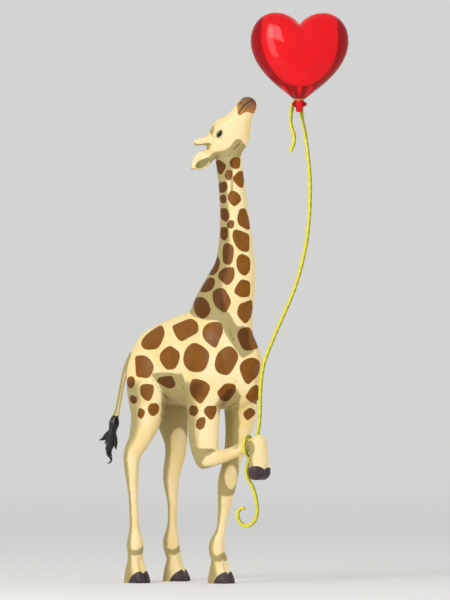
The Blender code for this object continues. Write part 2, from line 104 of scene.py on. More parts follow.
CREAM = colour(251, 224, 156)
# Lighter cream, a painted highlight where the skin faces the viewer and upwards
CREAM_PAINTED_HIGHLIGHT = colour(255, 232, 180)
# Painted shade on the cream
PAINTED_SHADE_TAN = colour(176, 158, 104)
PATCH_BROWN = colour(134, 81, 16)
PATCH_BROWN_DEEP = tuple(light * 0.88 for light in PATCH_BROWN)
PATCH_BROWN_PALE = tuple(light * 1.14 for light in PATCH_BROWN)
PATCH_SHADE = colour(97, 56, 6)
# Painted shade in the creases, the mouth and the nostrils
CREASE_PAINTED_SHADE = colour(60, 38, 18)
MUZZLE_ORANGE = colour(186, 124, 56)
MUZZLE_DARK = colour(138, 102, 68)
MUZZLE_DEEP = colour(104, 72, 40)
EAR_OLIVE = colour(150, 138, 84)
HORN = colour(88, 74, 76)
HORN_DARK = colour(58, 48, 50)
HAIR = colour(14, 12, 12)
HAIR_SHINE = colour(34, 28, 26)
PUPIL = (0.004, 0.003, 0.003)
PUPIL_BROWN = (0.012, 0.008, 0.006)
BALLOON_RED = colour(240, 18, 28)
# Painted shade towards the balloon's seam
BALLOON_PAINTED_SHADE = colour(160, 8, 16)
BALLOON_RED_WORN = colour(230, 22, 30)
STRING_YELLOW = colour(240, 232, 44)
STRING_YELLOW_WORN = colour(226, 218, 60)
# Painted shade on the cord
STRING_PAINTED_SHADE = colour(150, 150, 36)
STRING_PAINTED_SHADE_WORN = colour(166, 164, 44)
TIE_GOLD = colour(232, 196, 118)
TIE_GOLD_WORN = colour(206, 160, 80)


# Making by hand
same_spot = 1e-6


def deselect():
    bpy.ops.object.select_all(action="DESELECT")


def take(piece):
    deselect()
    piece.select_set(True)
    bpy.context.view_layer.objects.active = piece


def apply_step(piece, kind, **settings):
    """Adds a modifier and applies it."""
    step = piece.modifiers.new(kind.lower(), kind)
    for name, value in settings.items():
        setattr(step, name, value)
    take(piece)
    bpy.ops.object.modifier_apply(modifier=step.name)


@contextmanager
def all_in_edit(piece):
    """The piece in edit mode with everything on it selected."""
    take(piece)
    bpy.ops.object.mode_set(mode="EDIT")
    bpy.ops.mesh.select_all(action="SELECT")
    yield
    bpy.ops.object.mode_set(mode="OBJECT")


def merged_copy(node, name):
    """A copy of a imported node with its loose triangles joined."""
    piece = bpy.data.objects.new(name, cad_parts[node].data.copy())
    bpy.context.scene.collection.objects.link(piece)
    with all_in_edit(piece):
        bpy.ops.mesh.remove_doubles(threshold=same_spot)
    return piece


def place_in_mesh(piece):
    """Puts the object's place, turn and scale into its mesh."""
    take(piece)
    bpy.ops.object.transform_apply(location=True, rotation=True, scale=True)


def right_side_out(piece):
    with all_in_edit(piece):
        bpy.ops.mesh.remove_doubles(threshold=same_spot)
        bpy.ops.mesh.normals_make_consistent(inside=False)


def shade_smooth(piece, angle=None):
    take(piece)
    if angle is None:
        bpy.ops.object.shade_smooth()
    else:
        bpy.ops.object.shade_smooth_by_angle(angle=math.radians(angle))


def joined(name, pieces):
    deselect()
    for piece in pieces:
        piece.select_set(True)
    bpy.context.view_layer.objects.active = pieces[0]
    bpy.ops.object.join()
    pieces[0].name = name
    return pieces[0]


def own(piece, slot, material, *nodes):
    """The piece rides with the casting, takes its finish and stands for these nodes."""
    piece.data.materials.clear()
    piece.data.materials.append(material)
    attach(piece, "root")
    if nodes:
        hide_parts(*nodes)


def smooth_curve(rows, steps):
    """Rows of numbers read from the Catmull-Rom curve through them, steps to each stretch."""
    rows = np.array(rows, float)
    padded = np.vstack([rows[:1], rows, rows[-1:]])
    made = []
    for i in range(1, len(padded) - 2):
        before, start, end, after = padded[i - 1 : i + 3]
        for t in np.arange(steps) / steps:
            made.append(
                0.5
                * (
                    2 * start
                    + (end - before) * t
                    + (2 * before - 5 * start + 4 * end - after) * t**2
                    + (3 * start - before - 3 * end + after) * t**3
                )
            )
    return np.array([*made, rows[-1]])


def mesh_piece(name, corners, faces):
    data = bpy.data.meshes.new(name)
    data.from_pydata([tuple(corner) for corner in corners], [], faces)
    piece = bpy.data.objects.new(name, data)
    bpy.context.scene.collection.objects.link(piece)
    return piece


def ring_faces(rings, corners):
    """The faces of a tube of rings, without its ends."""
    faces = []
    for ring in range(rings - 1):
        low, high = ring * corners, (ring + 1) * corners
        for k in range(corners):
            n = (k + 1) % corners
            faces.append((low + k, low + n, high + n, high + k))
    return faces


def tube_faces(rings, corners):
    """The same with its two ends closed."""
    start_end = tuple(range(corners))[::-1]
    far_end = tuple(range((rings - 1) * corners, rings * corners))
    return [*ring_faces(rings, corners), start_end, far_end]


def spots_of(piece):
    return np.array([tuple(corner.co) for corner in piece.data.vertices])


def move_spots(piece, spots):
    piece.data.vertices.foreach_set("co", spots.astype(np.float32).ravel())
    piece.data.update()


def carry_field(piece, name, values):
    """Gives the mesh a number at each corner, for the paint to read."""
    attribute = piece.data.attributes.new(name, "FLOAT", "POINT")
    attribute.data.foreach_set("value", values.astype(np.float32))


# Shader maths
class Level:
    """A shader socket that can be reckoned with as a number."""

    def __init__(self, paint, socket):
        self.paint = paint
        self.socket = socket

    def reckon(self, operation, first, second):
        return self.paint.node("ShaderNodeMath", {"operation": operation}, {0: first, 1: second})

    def __add__(self, other):
        return self.reckon("ADD", self, other)

    __radd__ = __add__

    def __sub__(self, other):
        return self.reckon("SUBTRACT", self, other)

    def __rsub__(self, other):
        return self.reckon("SUBTRACT", other, self)

    def __mul__(self, other):
        return self.reckon("MULTIPLY", self, other)

    __rmul__ = __mul__


class Paint:
    """One material: its nodes, its principled shader and the sockets that feed it."""

    def __init__(self, name, **plain):
        self.material = bpy.data.materials.new(name)
        self.material.use_nodes = True
        self.tree = self.material.node_tree
        self.shader = self.tree.nodes["Principled BSDF"]
        self.places = self.tree.nodes.new("ShaderNodeTexCoord").outputs["Object"]
        for socket, value in plain.items():
            self.shader.inputs[socket.replace("_", " ")].default_value = value

    def node(self, kind, settings, sockets, output=0):
        """A node with its settings made and its sockets filled by values or links."""
        made = self.tree.nodes.new(kind)
        for name, value in settings.items():
            setattr(made, name, value)
        for name, value in sockets.items():
            self.feed(made.inputs[name], value)
        return Level(self, made.outputs[output])

    def feed(self, socket, value):
        if isinstance(value, Level):
            self.tree.links.new(value.socket, socket)
        elif isinstance(value, bpy.types.NodeSocket):
            self.tree.links.new(value, socket)
        elif hasattr(value, "__len__") and len(value) == 3 and socket.type == "RGBA":
            socket.default_value = (*value, 1)
        else:
            socket.default_value = value

    def field(self, name):
        """A number that the mesh carries at each corner."""
        return self.node("ShaderNodeAttribute", {"attribute_name": name}, {}, "Fac")

    def noise(self, scale, detail, stretch=(1, 1, 1)):
        spread = self.node("ShaderNodeMapping", {}, {"Vector": self.places, "Scale": stretch})
        sockets = {"Vector": spread, "Scale": scale, "Detail": detail}
        return self.node("ShaderNodeTexNoise", {}, sockets, "Fac")

    def step(self, level, low, high):
        """0 below low and 1 above high, with a soft turn at each."""
        sockets = {"Value": level, "From Min": low, "From Max": high}
        return self.node("ShaderNodeMapRange", {"interpolation_type": "SMOOTHSTEP"}, sockets)

    def mix(self, factor, first, second):
        """The first colour where the factor is 0 and the second where it is 1."""
        return self.node("ShaderNodeMix", {"data_type": "RGBA"}, {0: factor, 6: first, 7: second}, 2)

    def bump(self, height, distance, strength):
        sockets = {"Height": height, "Distance": distance, "Strength": strength}
        self.feed(self.shader.inputs["Normal"], self.node("ShaderNodeBump", {}, sockets))

    def cover(self, **levels):
        for name, value in levels.items():
            self.feed(self.shader.inputs[name.replace("_", " ")], value)


# Camera, floor and light
def make_camera():
    data = bpy.data.cameras.new("photo_view")
    data.lens = camera_lens
    camera = bpy.data.objects.new("photo_view", data)
    bpy.context.scene.collection.objects.link(camera)
    distance = camera_lens / data.sensor_width * picture_height
    back = VIEWER_BACK * math.cos(camera_rise) - UP * math.sin(camera_rise)
    aim = VIEWER_RIGHT * picture_middle[0] + UP * picture_middle[1]
    camera.location = aim - back * distance
    camera.rotation_euler = (math.pi / 2 - camera_rise, 0, viewer_turn)
    data.clip_end = 300
    bpy.context.scene.camera = camera


pale = (0.86, 0.86, 0.85)
air_strength = 0.76
floor_radius = 60
floor_near, floor_far = 1.2, 7.0


def floor_paint():
    """Pale and matt; far off it takes the colour of the air behind it, so that no edge shows."""
    paint = Paint("pale_floor", Base_Color=(*pale, 1), Roughness=0.9, Specular_IOR_Level=0.0)
    far = paint.node("ShaderNodeVectorMath", {"operation": "LENGTH"}, {0: paint.places}, "Value")
    air = paint.node("ShaderNodeEmission", {}, {"Color": pale, "Strength": air_strength})
    distant = paint.step(far, floor_near, floor_far)
    shown = paint.node("ShaderNodeMixShader", {}, {0: distant, 1: paint.shader.outputs[0], 2: air})
    paint.tree.links.new(shown.socket, paint.tree.nodes["Material Output"].inputs["Surface"])
    return paint.material


def make_floor():
    deselect()
    bpy.ops.mesh.primitive_circle_add(vertices=96, radius=floor_radius, fill_type="NGON")
    floor = bpy.context.object
    floor.name = "floor"
    floor.data.materials.append(floor_paint())


def soft_light(name, right, back, up, size, power, aim_up=0.6, lights=True, shines=True):
    data = bpy.data.lights.new(name, "AREA")
    data.shape = "RECTANGLE"
    data.size, data.size_y = size
    data.energy = power
    light = bpy.data.objects.new(name, data)
    bpy.context.scene.collection.objects.link(light)
    light.location = VIEWER_RIGHT * right + VIEWER_BACK * back + UP * up
    light.rotation_euler = (UP * aim_up - light.location).to_track_quat("-Z", "Y").to_euler()
    light.visible_camera = False
    light.visible_diffuse = lights
    light.visible_glossy = shines


def make_light():
    world = bpy.data.worlds.new("pale_air")
    world.use_nodes = True
    world.node_tree.nodes["Background"].inputs["Color"].default_value = (*pale, 1)
    world.node_tree.nodes["Background"].inputs["Strength"].default_value = air_strength
    bpy.context.scene.world = world
    soft_light("key_light", -1.6, -2.1, 1.7, (0.75, 3.2), 37)
    soft_light("fill_light", 2.2, -1.4, 1.2, (1.2, 1.8), 9, shines=False)
    soft_light("rim_light", 0.8, 2.2, 2.4, (1.6, 1.2), 3)
    soft_light("shine_card", -1.1, -2.3, 3.15, (1.5, 2.1), 70, aim_up=1.0, lights=False)
    bpy.context.scene.view_settings.view_transform = "Standard"


# The casting's skin
class Skin:
    """The casting's fine mesh as arrays, to be worked by hand and painted."""

    def __init__(self, piece):
        self.piece = piece
        self.fields = {}
        self.read()
        self.calm = self.normals

    def read(self):
        data = self.piece.data
        count = len(data.vertices)
        self.spots = np.empty(count * 3, np.float32)
        data.vertices.foreach_get("co", self.spots)
        self.spots = self.spots.reshape(-1, 3).astype(float)
        self.normals = np.empty(count * 3, np.float32)
        data.vertex_normals.foreach_get("vector", self.normals)
        self.normals = self.normals.reshape(-1, 3).astype(float)
        self.tree = BVHTree.FromPolygons(
            self.spots.tolist(), [tuple(face.vertices) for face in data.polygons]
        )

    def body_places(self):
        """Every spot as (forward, side, up) in thousandths."""
        return self.spots / giraffe_height * 1000 + np.array((*MIDDLE, 0))

    def head_places(self):
        """Every spot as (along, crown, out) in thousandths."""
        from_base = (self.spots - np.array(place(*HEAD_BASE))) / giraffe_height * 1000
        return from_base @ np.array((HEAD_ALONG, HEAD_CROWN, HEAD_OUT)).T

    def as_seen(self):
        """Every spot's (right, up) in thousandths."""
        from_start = (self.spots - np.array(place(0, 0, 0))) / giraffe_height * 1000
        return from_start @ np.array(VIEWER_RIGHT), from_start[:, 2]

    def depth(self):
        """How far every spot is from the viewer, in thousandths past the middle."""
        return (self.spots - np.array(place(0, 0, 0))) @ np.array(VIEWER_BACK) / giraffe_height * 1000

    def facing(self, direction):
        """How much the smooth form turns this way, its creases left out."""
        return self.calm @ np.array(direction)

    def touch(self, right, up, side):
        """Where the viewer's line at (right, up) meets the skin: from the near side, from straight behind
        for the far side of the head, or from the body's other side."""
        start, line = seen(right, up, -600), VIEWER_BACK.copy()
        if side == "head_far":
            start, line = seen(right, up, 600), -line
        if side == "body_far":
            start.y = -2 * share(MIDDLE[1]) - start.y
            line.y = -line.y
        return self.tree.ray_cast(start, line)

    def line(self, places, side, step=1.2):
        """A smooth line through (right, up) places, laid on the skin, in spots step thousandths apart."""
        run = smooth_curve(places, 12)
        walked = np.concatenate([[0], np.cumsum(np.linalg.norm(np.diff(run, axis=0), axis=1))])
        stops = np.linspace(0, walked[-1], max(2, int(walked[-1] / step)))
        found = [
            self.touch(np.interp(stop, walked, run[:, 0]), np.interp(stop, walked, run[:, 1]), side)[0]
            for stop in stops
        ]
        return np.array([spot for spot in found if spot is not None])

    def distance(self, line, reach):
        """How far every spot is from a line of spots, within reach, and how full the line is there: it fades
        at its ends."""
        far = np.full(len(self.spots), reach * 2)
        fullness = np.zeros(len(self.spots))
        inside = ((self.spots > line.min(0) - reach) & (self.spots < line.max(0) + reach)).all(1)
        squares = ((self.spots[inside][:, None, :] - line[None, :, :]) ** 2).sum(2)
        far[inside] = np.sqrt(squares.min(1))
        fullness[inside] = np.sin(math.pi * (squares.argmin(1) + 0.5) / len(line)) ** 0.6
        return far, fullness

    def push(self, line, half_width, height):
        """Raises the skin along a line that fades at its ends, or cuts it in where the height is negative."""
        far, fullness = self.distance(line, share(half_width))
        away = np.clip(far / share(half_width), 0, 1)
        self.spots += self.normals * (share(height) * fullness * (1 - away**2) ** 2)[:, None]

    def brush(self, name, line, half_width, taper=0.0):
        """Paints along a line: the field is how far inside the painted edge a spot is, in metres."""
        far, fullness = self.distance(line, share(half_width) + share(20))
        self.lay(name, share(half_width) * (1 - taper * (1 - fullness)) - far)

    def lay(self, name, inside):
        """Paints where a field is more than 0, beside what the same paint already covers."""
        self.fields[name] = np.maximum(self.fields.get(name, np.full(len(inside), OUTSIDE)), inside)

    def shade(self, chosen, inside):
        """Lays painted shade on the chosen spots, where inside is more than 0, in thousandths."""
        self.lay("shade", np.where(chosen, share(1) * inside, OUTSIDE))

    def keep_fields(self):
        for name, values in self.fields.items():
            carry_field(self.piece, name, values)


skin_voxel = 0.0027
skin_smoothing = 12
# The share of the skin's triangles that is kept, so that the casting stays under 200,000
skin_share_kept = 0.84
fine_smoothing = 3
# What a field holds where nothing is painted: in metres, and in thousandths
OUTSIDE = -1.0
FAR_OUTSIDE = -60.0
ANY_DEPTH = 1000

# Creases as the viewer sees them: ((right, up) places, half width, depth)
BODY_CREASES = [
    ([(40, 590), (43, 569), (48, 548)], 5, 2.6),
    ([(57, 531), (68, 507), (80, 484)], 5, 2.6),
    ([(97, 526), (94, 505)], 4, 1.4),
    ([(76, 430), (72, 411), (58, 386), (40, 360)], 6, 3.0),
    ([(83, 378), (68, 367), (54, 355)], 5, 2.0),
    ([(-105, 430), (-78, 393), (-51, 371), (-28, 356)], 6, 2.4),
    ([(-78, 395), (-76, 371), (-76, 352)], 4, 1.8),
    ([(-42, 422), (-29, 382), (-25, 353), (-21, 320)], 6, 2.4),
    ([(-108, 495), (-101, 508)], 3.5, 1.4),
    ([(12, 272), (22, 275), (33, 276)], 4.5, 2.2),
]
# Where the small wrinkles are, over each standing foot and under the far knee, (right, up)
ANKLES = [(-126, 66), (-54, 64), (39, 54)]
FAR_KNEE_WRINKLE = (60, 188)
THROAT_CREASES = [
    ([(70, 894), (75, 899), (81, 905)], 3.5, 1.6),
    ([(52, 879), (59, 881), (66, 887)], 3.5, 1.6),
]
MOUTH = [(79.9, 968.9), (88, 981), (97.9, 989.5), (104.5, 994.5), (111, 997.5)]
LOWER_LIP = [(91.5, 971.3), (99, 981), (108.2, 989.5)]
NOSTRIL = [(81.2, 988.2), (83.8, 990.4), (86.6, 991.6)]
# (places, half width, depth, half width of the painted shade along it)
FACE_LINES = [(MOUTH, 2.8, 2.4, 1.2), (LOWER_LIP, 2.4, 1.0, 0.6), (NOSTRIL, 2.4, 2.6, 1.2)]
# The eye's middle as the viewer sees it, and its half length, half height and bulge
EYE = (40.0, 926.2)
EYE_LENGTH = 8.4
EYE_HEIGHT = 5.0
EYE_BULGE = 3.4
# The upper and the lower lid: (above or below, share of the opening, thickness)
LIDS = [(1, 1.0, 1.35), (-1, 0.92, 0.95)]
lid_steps = 24
# The ear: the inner leaf's corners and its axis from root to tip, (right, up), and how it is broadened
EAR_LEAF = [(-11, 858), (-6, 867), (5, 874), (20, 878), (18, 868), (10, 859), (-1, 855)]
EAR_AXIS = ((31, 885), (-16, 855))
EAR_WIDENING = 0.55
EAR_DROP = 1.0
POINTS_FULLER = 1.5
# Where the muzzle's brown begins, (crown, along)
MUZZLE_EDGE = [(-30, 93), (-12.2, 89.2), (-3.8, 85.4), (2.9, 72.1), (8.2, 73.2), (18.3, 86.8), (30, 88)]

# Feet: where each pastern comes down, its turn outwards in degrees, and the toes' horn on it
STANDING_FEET = [((-117, -62, 0), -14), ((-96, 62, 0), 4), ((45, 4, 0), -6)]
TOE_SPACING = 9
# A toe's horn is a dome: its half length, half width and height
TOE_HORN = (24, 13.4, 25)
TOE_HORN_FORWARD = 14
CLEFT_HALF_WIDTH = 1.3
HAND = (152, -45, 216)
# The raised hoof's two domes as the viewer sees them: (middle, half width, top, rise)
HAND_HORN = [(115, 18, 245.5, 8), (140, 8, 242, 5)]
# How the raised hoof is made fuller: from which right on, by how much, and how far it is lifted
HAND_LEFT = 98
HAND_FULLER = 5
HAND_LIFT = 4

# Coat patches on the side that the viewer sees, each by its corners (right, up)
BACK_PATCHES = [
    [(-79, 532), (-72, 518), (-76, 501), (-87, 483), (-99, 480), (-114, 481), (-121, 488), (-121, 499),
     (-103, 519)],
    [(-24, 547), (-7, 541), (-2, 530), (-4, 518), (-40, 498), (-44, 501), (-54, 516), (-58, 532), (-46, 537)],
    [(13, 535), (32, 541), (43, 538), (49, 521), (44, 507), (33, 485), (27, 487), (8, 504), (4, 515),
     (8, 530)],
    [(77, 519), (84, 527), (101, 529), (113, 510), (121, 487), (100, 480), (83, 485), (80, 498), (74, 508)],
]
SIDE_PATCHES = [
    [(-134, 467), (-124, 470), (-110, 468), (-97, 454), (-95, 442), (-106, 422), (-114, 422), (-131, 426)],
    [(-61, 491), (-54, 487), (-41, 476), (-44, 454), (-52, 442), (-68, 440), (-82, 457), (-84, 468),
     (-79, 479)],
    [(-15, 497), (1, 494), (20, 476), (19, 460), (8, 439), (-9, 435), (-24, 439), (-35, 457), (-34, 474),
     (-27, 488)],
    [(60, 491), (70, 487), (80, 470), (77, 457), (58, 430), (38, 434), (30, 445), (33, 470), (44, 484)],
    [(98, 466), (112, 467), (124, 457), (121, 432), (100, 411), (92, 415), (83, 435), (80, 445), (86, 459)],
    [(-142, 426), (-136, 423), (-134, 414), (-139, 403), (-145, 401), (-152, 411), (-149, 423)],
    [(-77, 426), (-58, 428), (-50, 411), (-54, 404), (-65, 401), (-83, 411), (-89, 415), (-85, 424)],
    [(-16, 422), (1, 422), (16, 415), (21, 408), (19, 395), (2, 371), (-4, 373), (-20, 392), (-22, 404)],
    [(53, 414), (72, 412), (75, 401), (69, 389), (57, 376), (44, 378), (38, 387), (35, 395), (46, 409)],
    [(115, 411), (120, 408), (120, 369), (106, 373), (93, 386), (97, 394), (106, 406)],
]
LEG_PATCHES = [
    [(-122, 408), (-114, 411), (-96, 409), (-95, 395), (-104, 376), (-111, 376), (-122, 387), (-124, 398)],
    [(-141, 387), (-131, 383), (-130, 373), (-136, 369), (-141, 371), (-145, 380)],
    [(-124, 361), (-114, 356), (-114, 349), (-120, 339), (-127, 342), (-130, 352)],
    [(-102, 370), (-89, 371), (-84, 363), (-86, 352), (-94, 345), (-100, 345), (-107, 353), (-107, 363)],
    [(-18, 368), (-7, 366), (-3, 356), (-10, 346), (-20, 348), (-23, 358)],
    [(16, 367), (33, 367), (35, 358), (27, 340), (21, 339), (9, 352), (9, 361)],
    [(0, 343), (9, 344), (12, 336), (7, 321), (-1, 318), (-8, 324), (-7, 335)],
    [(102, 362), (112, 358), (114, 349), (98, 336), (90, 345), (89, 352)],
]
NECK_PATCHES = [
    [(-10, 588), (4, 591), (13, 586), (23, 567), (18, 553), (7, 545), (-2, 548), (-12, 560), (-13, 574)],
    [(41, 610), (49, 609), (62, 591), (65, 582), (60, 568), (53, 558), (43, 562), (32, 571), (26, 586),
     (26, 602)],
    [(81, 576), (106, 585), (109, 566), (104, 547), (94, 536), (84, 543), (76, 557)],
    [(19, 631), (30, 628), (31, 620), (25, 606), (13, 600), (0, 601), (3, 608), (13, 625)],
    [(81, 629), (102, 623), (104, 609), (101, 592), (85, 590), (69, 601), (68, 608), (76, 617)],
    [(53, 652), (70, 651), (71, 632), (66, 622), (57, 615), (45, 622), (37, 632), (38, 639), (45, 648)],
    [(36, 676), (41, 666), (41, 656), (34, 640), (26, 635), (18, 637), (26, 654)],
    [(82, 679), (95, 677), (103, 669), (103, 645), (93, 634), (85, 637), (76, 650), (74, 661), (77, 674)],
    [(50, 700), (58, 702), (69, 694), (70, 679), (65, 660), (57, 657), (48, 662), (46, 681), (47, 693)],
    [(70, 730), (77, 730), (101, 719), (101, 686), (93, 683), (79, 689), (68, 707), (66, 720)],
    [(44, 734), (56, 734), (58, 723), (56, 709), (50, 707), (43, 712), (42, 723)],
    [(82, 772), (93, 773), (99, 759), (103, 730), (98, 729), (79, 740), (76, 751)],
    [(62, 749), (70, 748), (71, 738), (64, 731), (57, 735), (55, 741)],
    [(43, 773), (54, 773), (61, 761), (60, 752), (54, 746), (48, 748), (43, 754)],
    [(64, 809), (75, 807), (84, 797), (84, 788), (72, 777), (68, 778), (58, 790), (57, 799)],
    [(43, 799), (51, 801), (54, 792), (53, 785), (46, 784), (42, 788), (40, 795)],
    [(41, 826), (53, 828), (57, 819), (55, 811), (48, 805), (40, 807), (37, 818)],
    [(80, 849), (89, 850), (91, 828), (88, 815), (82, 816), (69, 830), (68, 837)],
    [(55, 851), (64, 852), (67, 845), (65, 836), (61, 830), (53, 835), (51, 843)],
    [(67, 876), (77, 879), (83, 876), (81, 857), (73, 854), (67, 856), (62, 861), (61, 870)],
    [(36, 872), (41, 872), (53, 863), (53, 856), (44, 843), (39, 844), (32, 854), (32, 870)],
]
NEAR_PATCHES = [*BACK_PATCHES, *SIDE_PATCHES, *LEG_PATCHES, *NECK_PATCHES]
# Painted shade on the near side: (its corners in the same way, its least and greatest depth)
SHADE_BLOCKS = {
    "neck base": (
        [(46, 675), (43, 656), (37, 640), (36, 627), (41, 609), (48, 589), (54, 559), (43, 546), (26, 543),
         (6, 545), (-14, 551), (-31, 573), (-21, 604), (0, 635), (21, 662)],
        -ANY_DEPTH, 60,
    ),
    "fold before the shoulder": (
        [(53, 557), (59, 560), (72, 537), (80, 531), (92, 531), (100, 516), (102, 498), (106, 485),
         (111, 480), (92, 467), (83, 470), (67, 494), (53, 513), (47, 527), (38, 541), (25, 545), (13, 555),
         (25, 567), (38, 567)],
        -ANY_DEPTH, 60,
    ),
    "flank": (
        [(-102, 432), (-43, 432), (-33, 396), (-21, 361), (-18, 335), (-76, 335), (-79, 360), (-79, 396)],
        -50, ANY_DEPTH,
    ),
    "armpit": (
        [(43, 363), (57, 380), (72, 400), (78, 395), (84, 389), (83, 380), (74, 362), (79, 352), (80, 318),
         (50, 318), (50, 345), (39, 350), (36, 372)],
        -ANY_DEPTH, 60,
    ),
    "elbow": (
        [(-24, 357), (-15, 339), (-10, 313), (-6, 283), (13, 280), (31, 278), (32, 273), (16, 267), (6, 255),
         (5, 247), (13, 243), (31, 245), (44, 249), (44, 240), (16, 234), (1, 239), (-10, 259), (-19, 298)],
        -ANY_DEPTH, -30,
    ),
    "raised hoof": (
        [(98, 296), (106, 297), (111, 290), (112, 278), (107, 262), (110, 240), (96, 236)],
        -ANY_DEPTH, -90,
    ),
}
# The throat's shade and the shade before the brow, on both sides of the head, (along, crown)
THROAT_SHADE = [
    (-17, 6), (-10, -4), (2, -12), (14, -15.7), (22.6, -15.5), (29.3, -19.5), (31.7, -26.3), (28, -33),
    (25, -42), (8, -46), (-7, -36), (-16, -36), (-33, -42), (-50, -20), (-40, 9), (-23, 9),
]
BROW_SHADE = [(29, 40), (23, 33), (17, 29.5), (12, 29), (8, 32), (12, 40), (24, 44)]
# Painted shade as brush runs: ((right, up) places, half width, the sides that have it)
SHADE_RUNS = [
    ([(66, 856), (66, 830), (65, 806)], 2.6, ("near", "body_far")),
    ([(8, 268), (26, 274)], 6, ("near",)),
    ([(-40, 430), (-29, 394), (-19, 358), (-16, 330), (-14, 296)], 7, ("near",)),
]
# The tail is all that lies behind the rump, near the middle
TAIL_BEHIND = -150
TAIL_HALF_WIDTH = 30
TAIL_TOP = 475
TUFT_TOP = 343
TUFT_BOTTOM = 262
TUFT_SLIMMING = 0.62
# The lit ovals on the far legs, (right, up, half width, half height)
FAR_THIGH_OVAL = (-44, 290, 17, 28)
FAR_KNEE_OVAL = (64, 219, 13, 24)
# How big a patch is on the sides that the viewer doesn't see: (up, half width, gap between patches)
HIDDEN_PATCHES = [
    (330, 8, 15),
    (352, 10, 14),
    (375, 12, 13),
    (400, 18, 12),
    (450, 24, 11),
    (520, 24, 11),
    (580, 18, 10),
    (650, 15, 9),
    (720, 13, 8),
    (790, 11, 7),
    (860, 9.5, 7),
]
LOWEST_PATCH = 328
HIGHEST_PATCH = 872
patch_gap = 7.5
patch_growth = 0.7
patch_roundness = 0.13
patch_squareness = 2.6


def standing_feet():
    """(middle, forward, across) of every foot that stands."""
    for pastern, turn in STANDING_FEET:
        turned = Matrix.Rotation(math.radians(turn), 3, "Z")
        yield place(*pastern), turned @ Vector((1, 0, 0)), turned @ ACROSS


def toe_horn(skin):
    """How far inside some toe's domed horn every spot is, in metres."""
    best = np.full(len(skin.spots), OUTSIDE)
    sizes = np.array([share(half) for half in TOE_HORN])
    for middle, forward, across in standing_feet():
        for toe in (-1, 1):
            origin = middle + across * share(toe * TOE_SPACING) + forward * share(TOE_HORN_FORWARD)
            away = skin.spots - np.array(origin)
            shares = np.stack([away @ np.array(axis) for axis in (forward, across, UP)], 1) / sizes
            best = np.maximum(best, (1 - np.linalg.norm(shares, axis=1)) * share(min(TOE_HORN)))
    right, up = skin.as_seen()
    on_hand = (right > 92) & (skin.depth() < -85)
    for middle, half_width, top, rise in HAND_HORN:
        dome = top - rise * ((right - middle) / half_width) ** 2 - up
        dome = np.where(np.abs(right - middle) < half_width + 2, dome, FAR_OUTSIDE)
        best = np.maximum(best, np.where(on_hand, share(1) * dome, OUTSIDE))
    return best


def between_toes(skin):
    """How far inside the painted shade line in the cleft between two toes every spot is, in metres."""
    best = np.full(len(skin.spots), OUTSIDE)
    for middle, forward, across in [*standing_feet(), (place(*HAND), Vector((1, 0, 0)), ACROSS)]:
        away = skin.spots - np.array(middle + forward * share(TOE_HORN_FORWARD))
        ahead = away @ np.array(forward)
        near = (ahead > share(-12)) & (ahead < share(32)) & (np.abs(away[:, 2]) < share(TOE_HORN[2] + 8))
        inside = share(CLEFT_HALF_WIDTH) - np.abs(away @ np.array(across))
        best = np.maximum(best, np.where(near, inside, OUTSIDE))
    return best


def subdivide_where(piece, chosen):
    """Splits every face whose corners are all chosen into four."""
    take(piece)
    bpy.ops.object.mode_set(mode="EDIT")
    bpy.ops.mesh.select_all(action="DESELECT")
    bpy.ops.object.mode_set(mode="OBJECT")
    corners = np.empty(len(piece.data.loops), np.int32)
    piece.data.loops.foreach_get("vertex_index", corners)
    starts = np.empty(len(piece.data.polygons), np.int32)
    piece.data.polygons.foreach_get("loop_start", starts)
    picked = np.logical_and.reduceat(chosen[corners], starts)
    piece.data.polygons.foreach_set("select", picked)
    bpy.ops.object.mode_set(mode="EDIT")
    bpy.ops.mesh.select_mode(type="FACE")
    bpy.ops.mesh.subdivide(number_cuts=1, quadcorner="INNERVERT")
    bpy.ops.object.mode_set(mode="OBJECT")


def widen_ears(skin):
    """The ears are broad leaves as the viewer sees them."""
    right, up = skin.as_seen()
    (root_x, root_y), (tip_x, tip_y) = EAR_AXIS
    length = math.hypot(tip_x - root_x, tip_y - root_y)
    way = np.array(((tip_x - root_x) / length, (tip_y - root_y) / length))
    along = (right - root_x) * way[0] + (up - root_y) * way[1]
    across = -(right - root_x) * way[1] + (up - root_y) * way[0]
    t = np.clip(along / length, 0, 1)
    ear = (np.abs(across) < 16) & (up < 893) & (np.abs(skin.head_places()[:, 2]) > 12)
    grow = EAR_WIDENING * np.sin(math.pi * t) ** 0.7 * ear * (along > 0) * across
    shift = EAR_DROP * np.sin(math.pi * t) * ear * (along > 0)
    skin.spots += share(1) * np.outer(-way[1] * (grow + shift), VIEWER_RIGHT)
    skin.spots += share(1) * np.outer(way[0] * (grow + shift), UP)


def fuller_hand(skin):
    """The raised hoof hangs a little higher and is fuller towards the viewer's left."""
    right, up = skin.as_seen()
    on_hand = np.clip((right - HAND_LEFT) / 8, 0, 1) * (skin.depth() < -90) * (up < 320)
    low = np.clip((300 - up) / 30, 0, 1)
    shift = -HAND_FULLER * low * np.clip((144 - right) / 36, 0, 1)
    skin.spots += share(1) * (on_hand * shift)[:, None] * np.array(VIEWER_RIGHT)
    skin.spots += share(1) * (HAND_LIFT * on_hand * low)[:, None] * np.array(UP)


def tail_part(skin, top):
    """Which spots are on the tail and below this height."""
    forward, side, up = skin.body_places().T
    return (forward < TAIL_BEHIND) & (np.abs(side) < TAIL_HALF_WIDTH) & (up < top)


def slim_tuft(skin):
    """The casting's own tuft is only the core that the locks are laid on."""
    forward, side, up = skin.body_places().T
    tail = tail_part(skin, TUFT_TOP + 2)
    core = np.array(TUFT_LOCKS[0][0])[::-1]
    middle = np.interp(up, core[:, 1], core[:, 0]) / math.cos(viewer_turn)
    slim = TUFT_SLIMMING * np.clip((TUFT_TOP - up) / 10, 0, 1) * tail
    low = (tail & (up < TUFT_BOTTOM)) * (TUFT_BOTTOM - up) * 0.6
    skin.spots += share(1) * np.stack([slim * (middle - forward), -slim * side, low], 1)


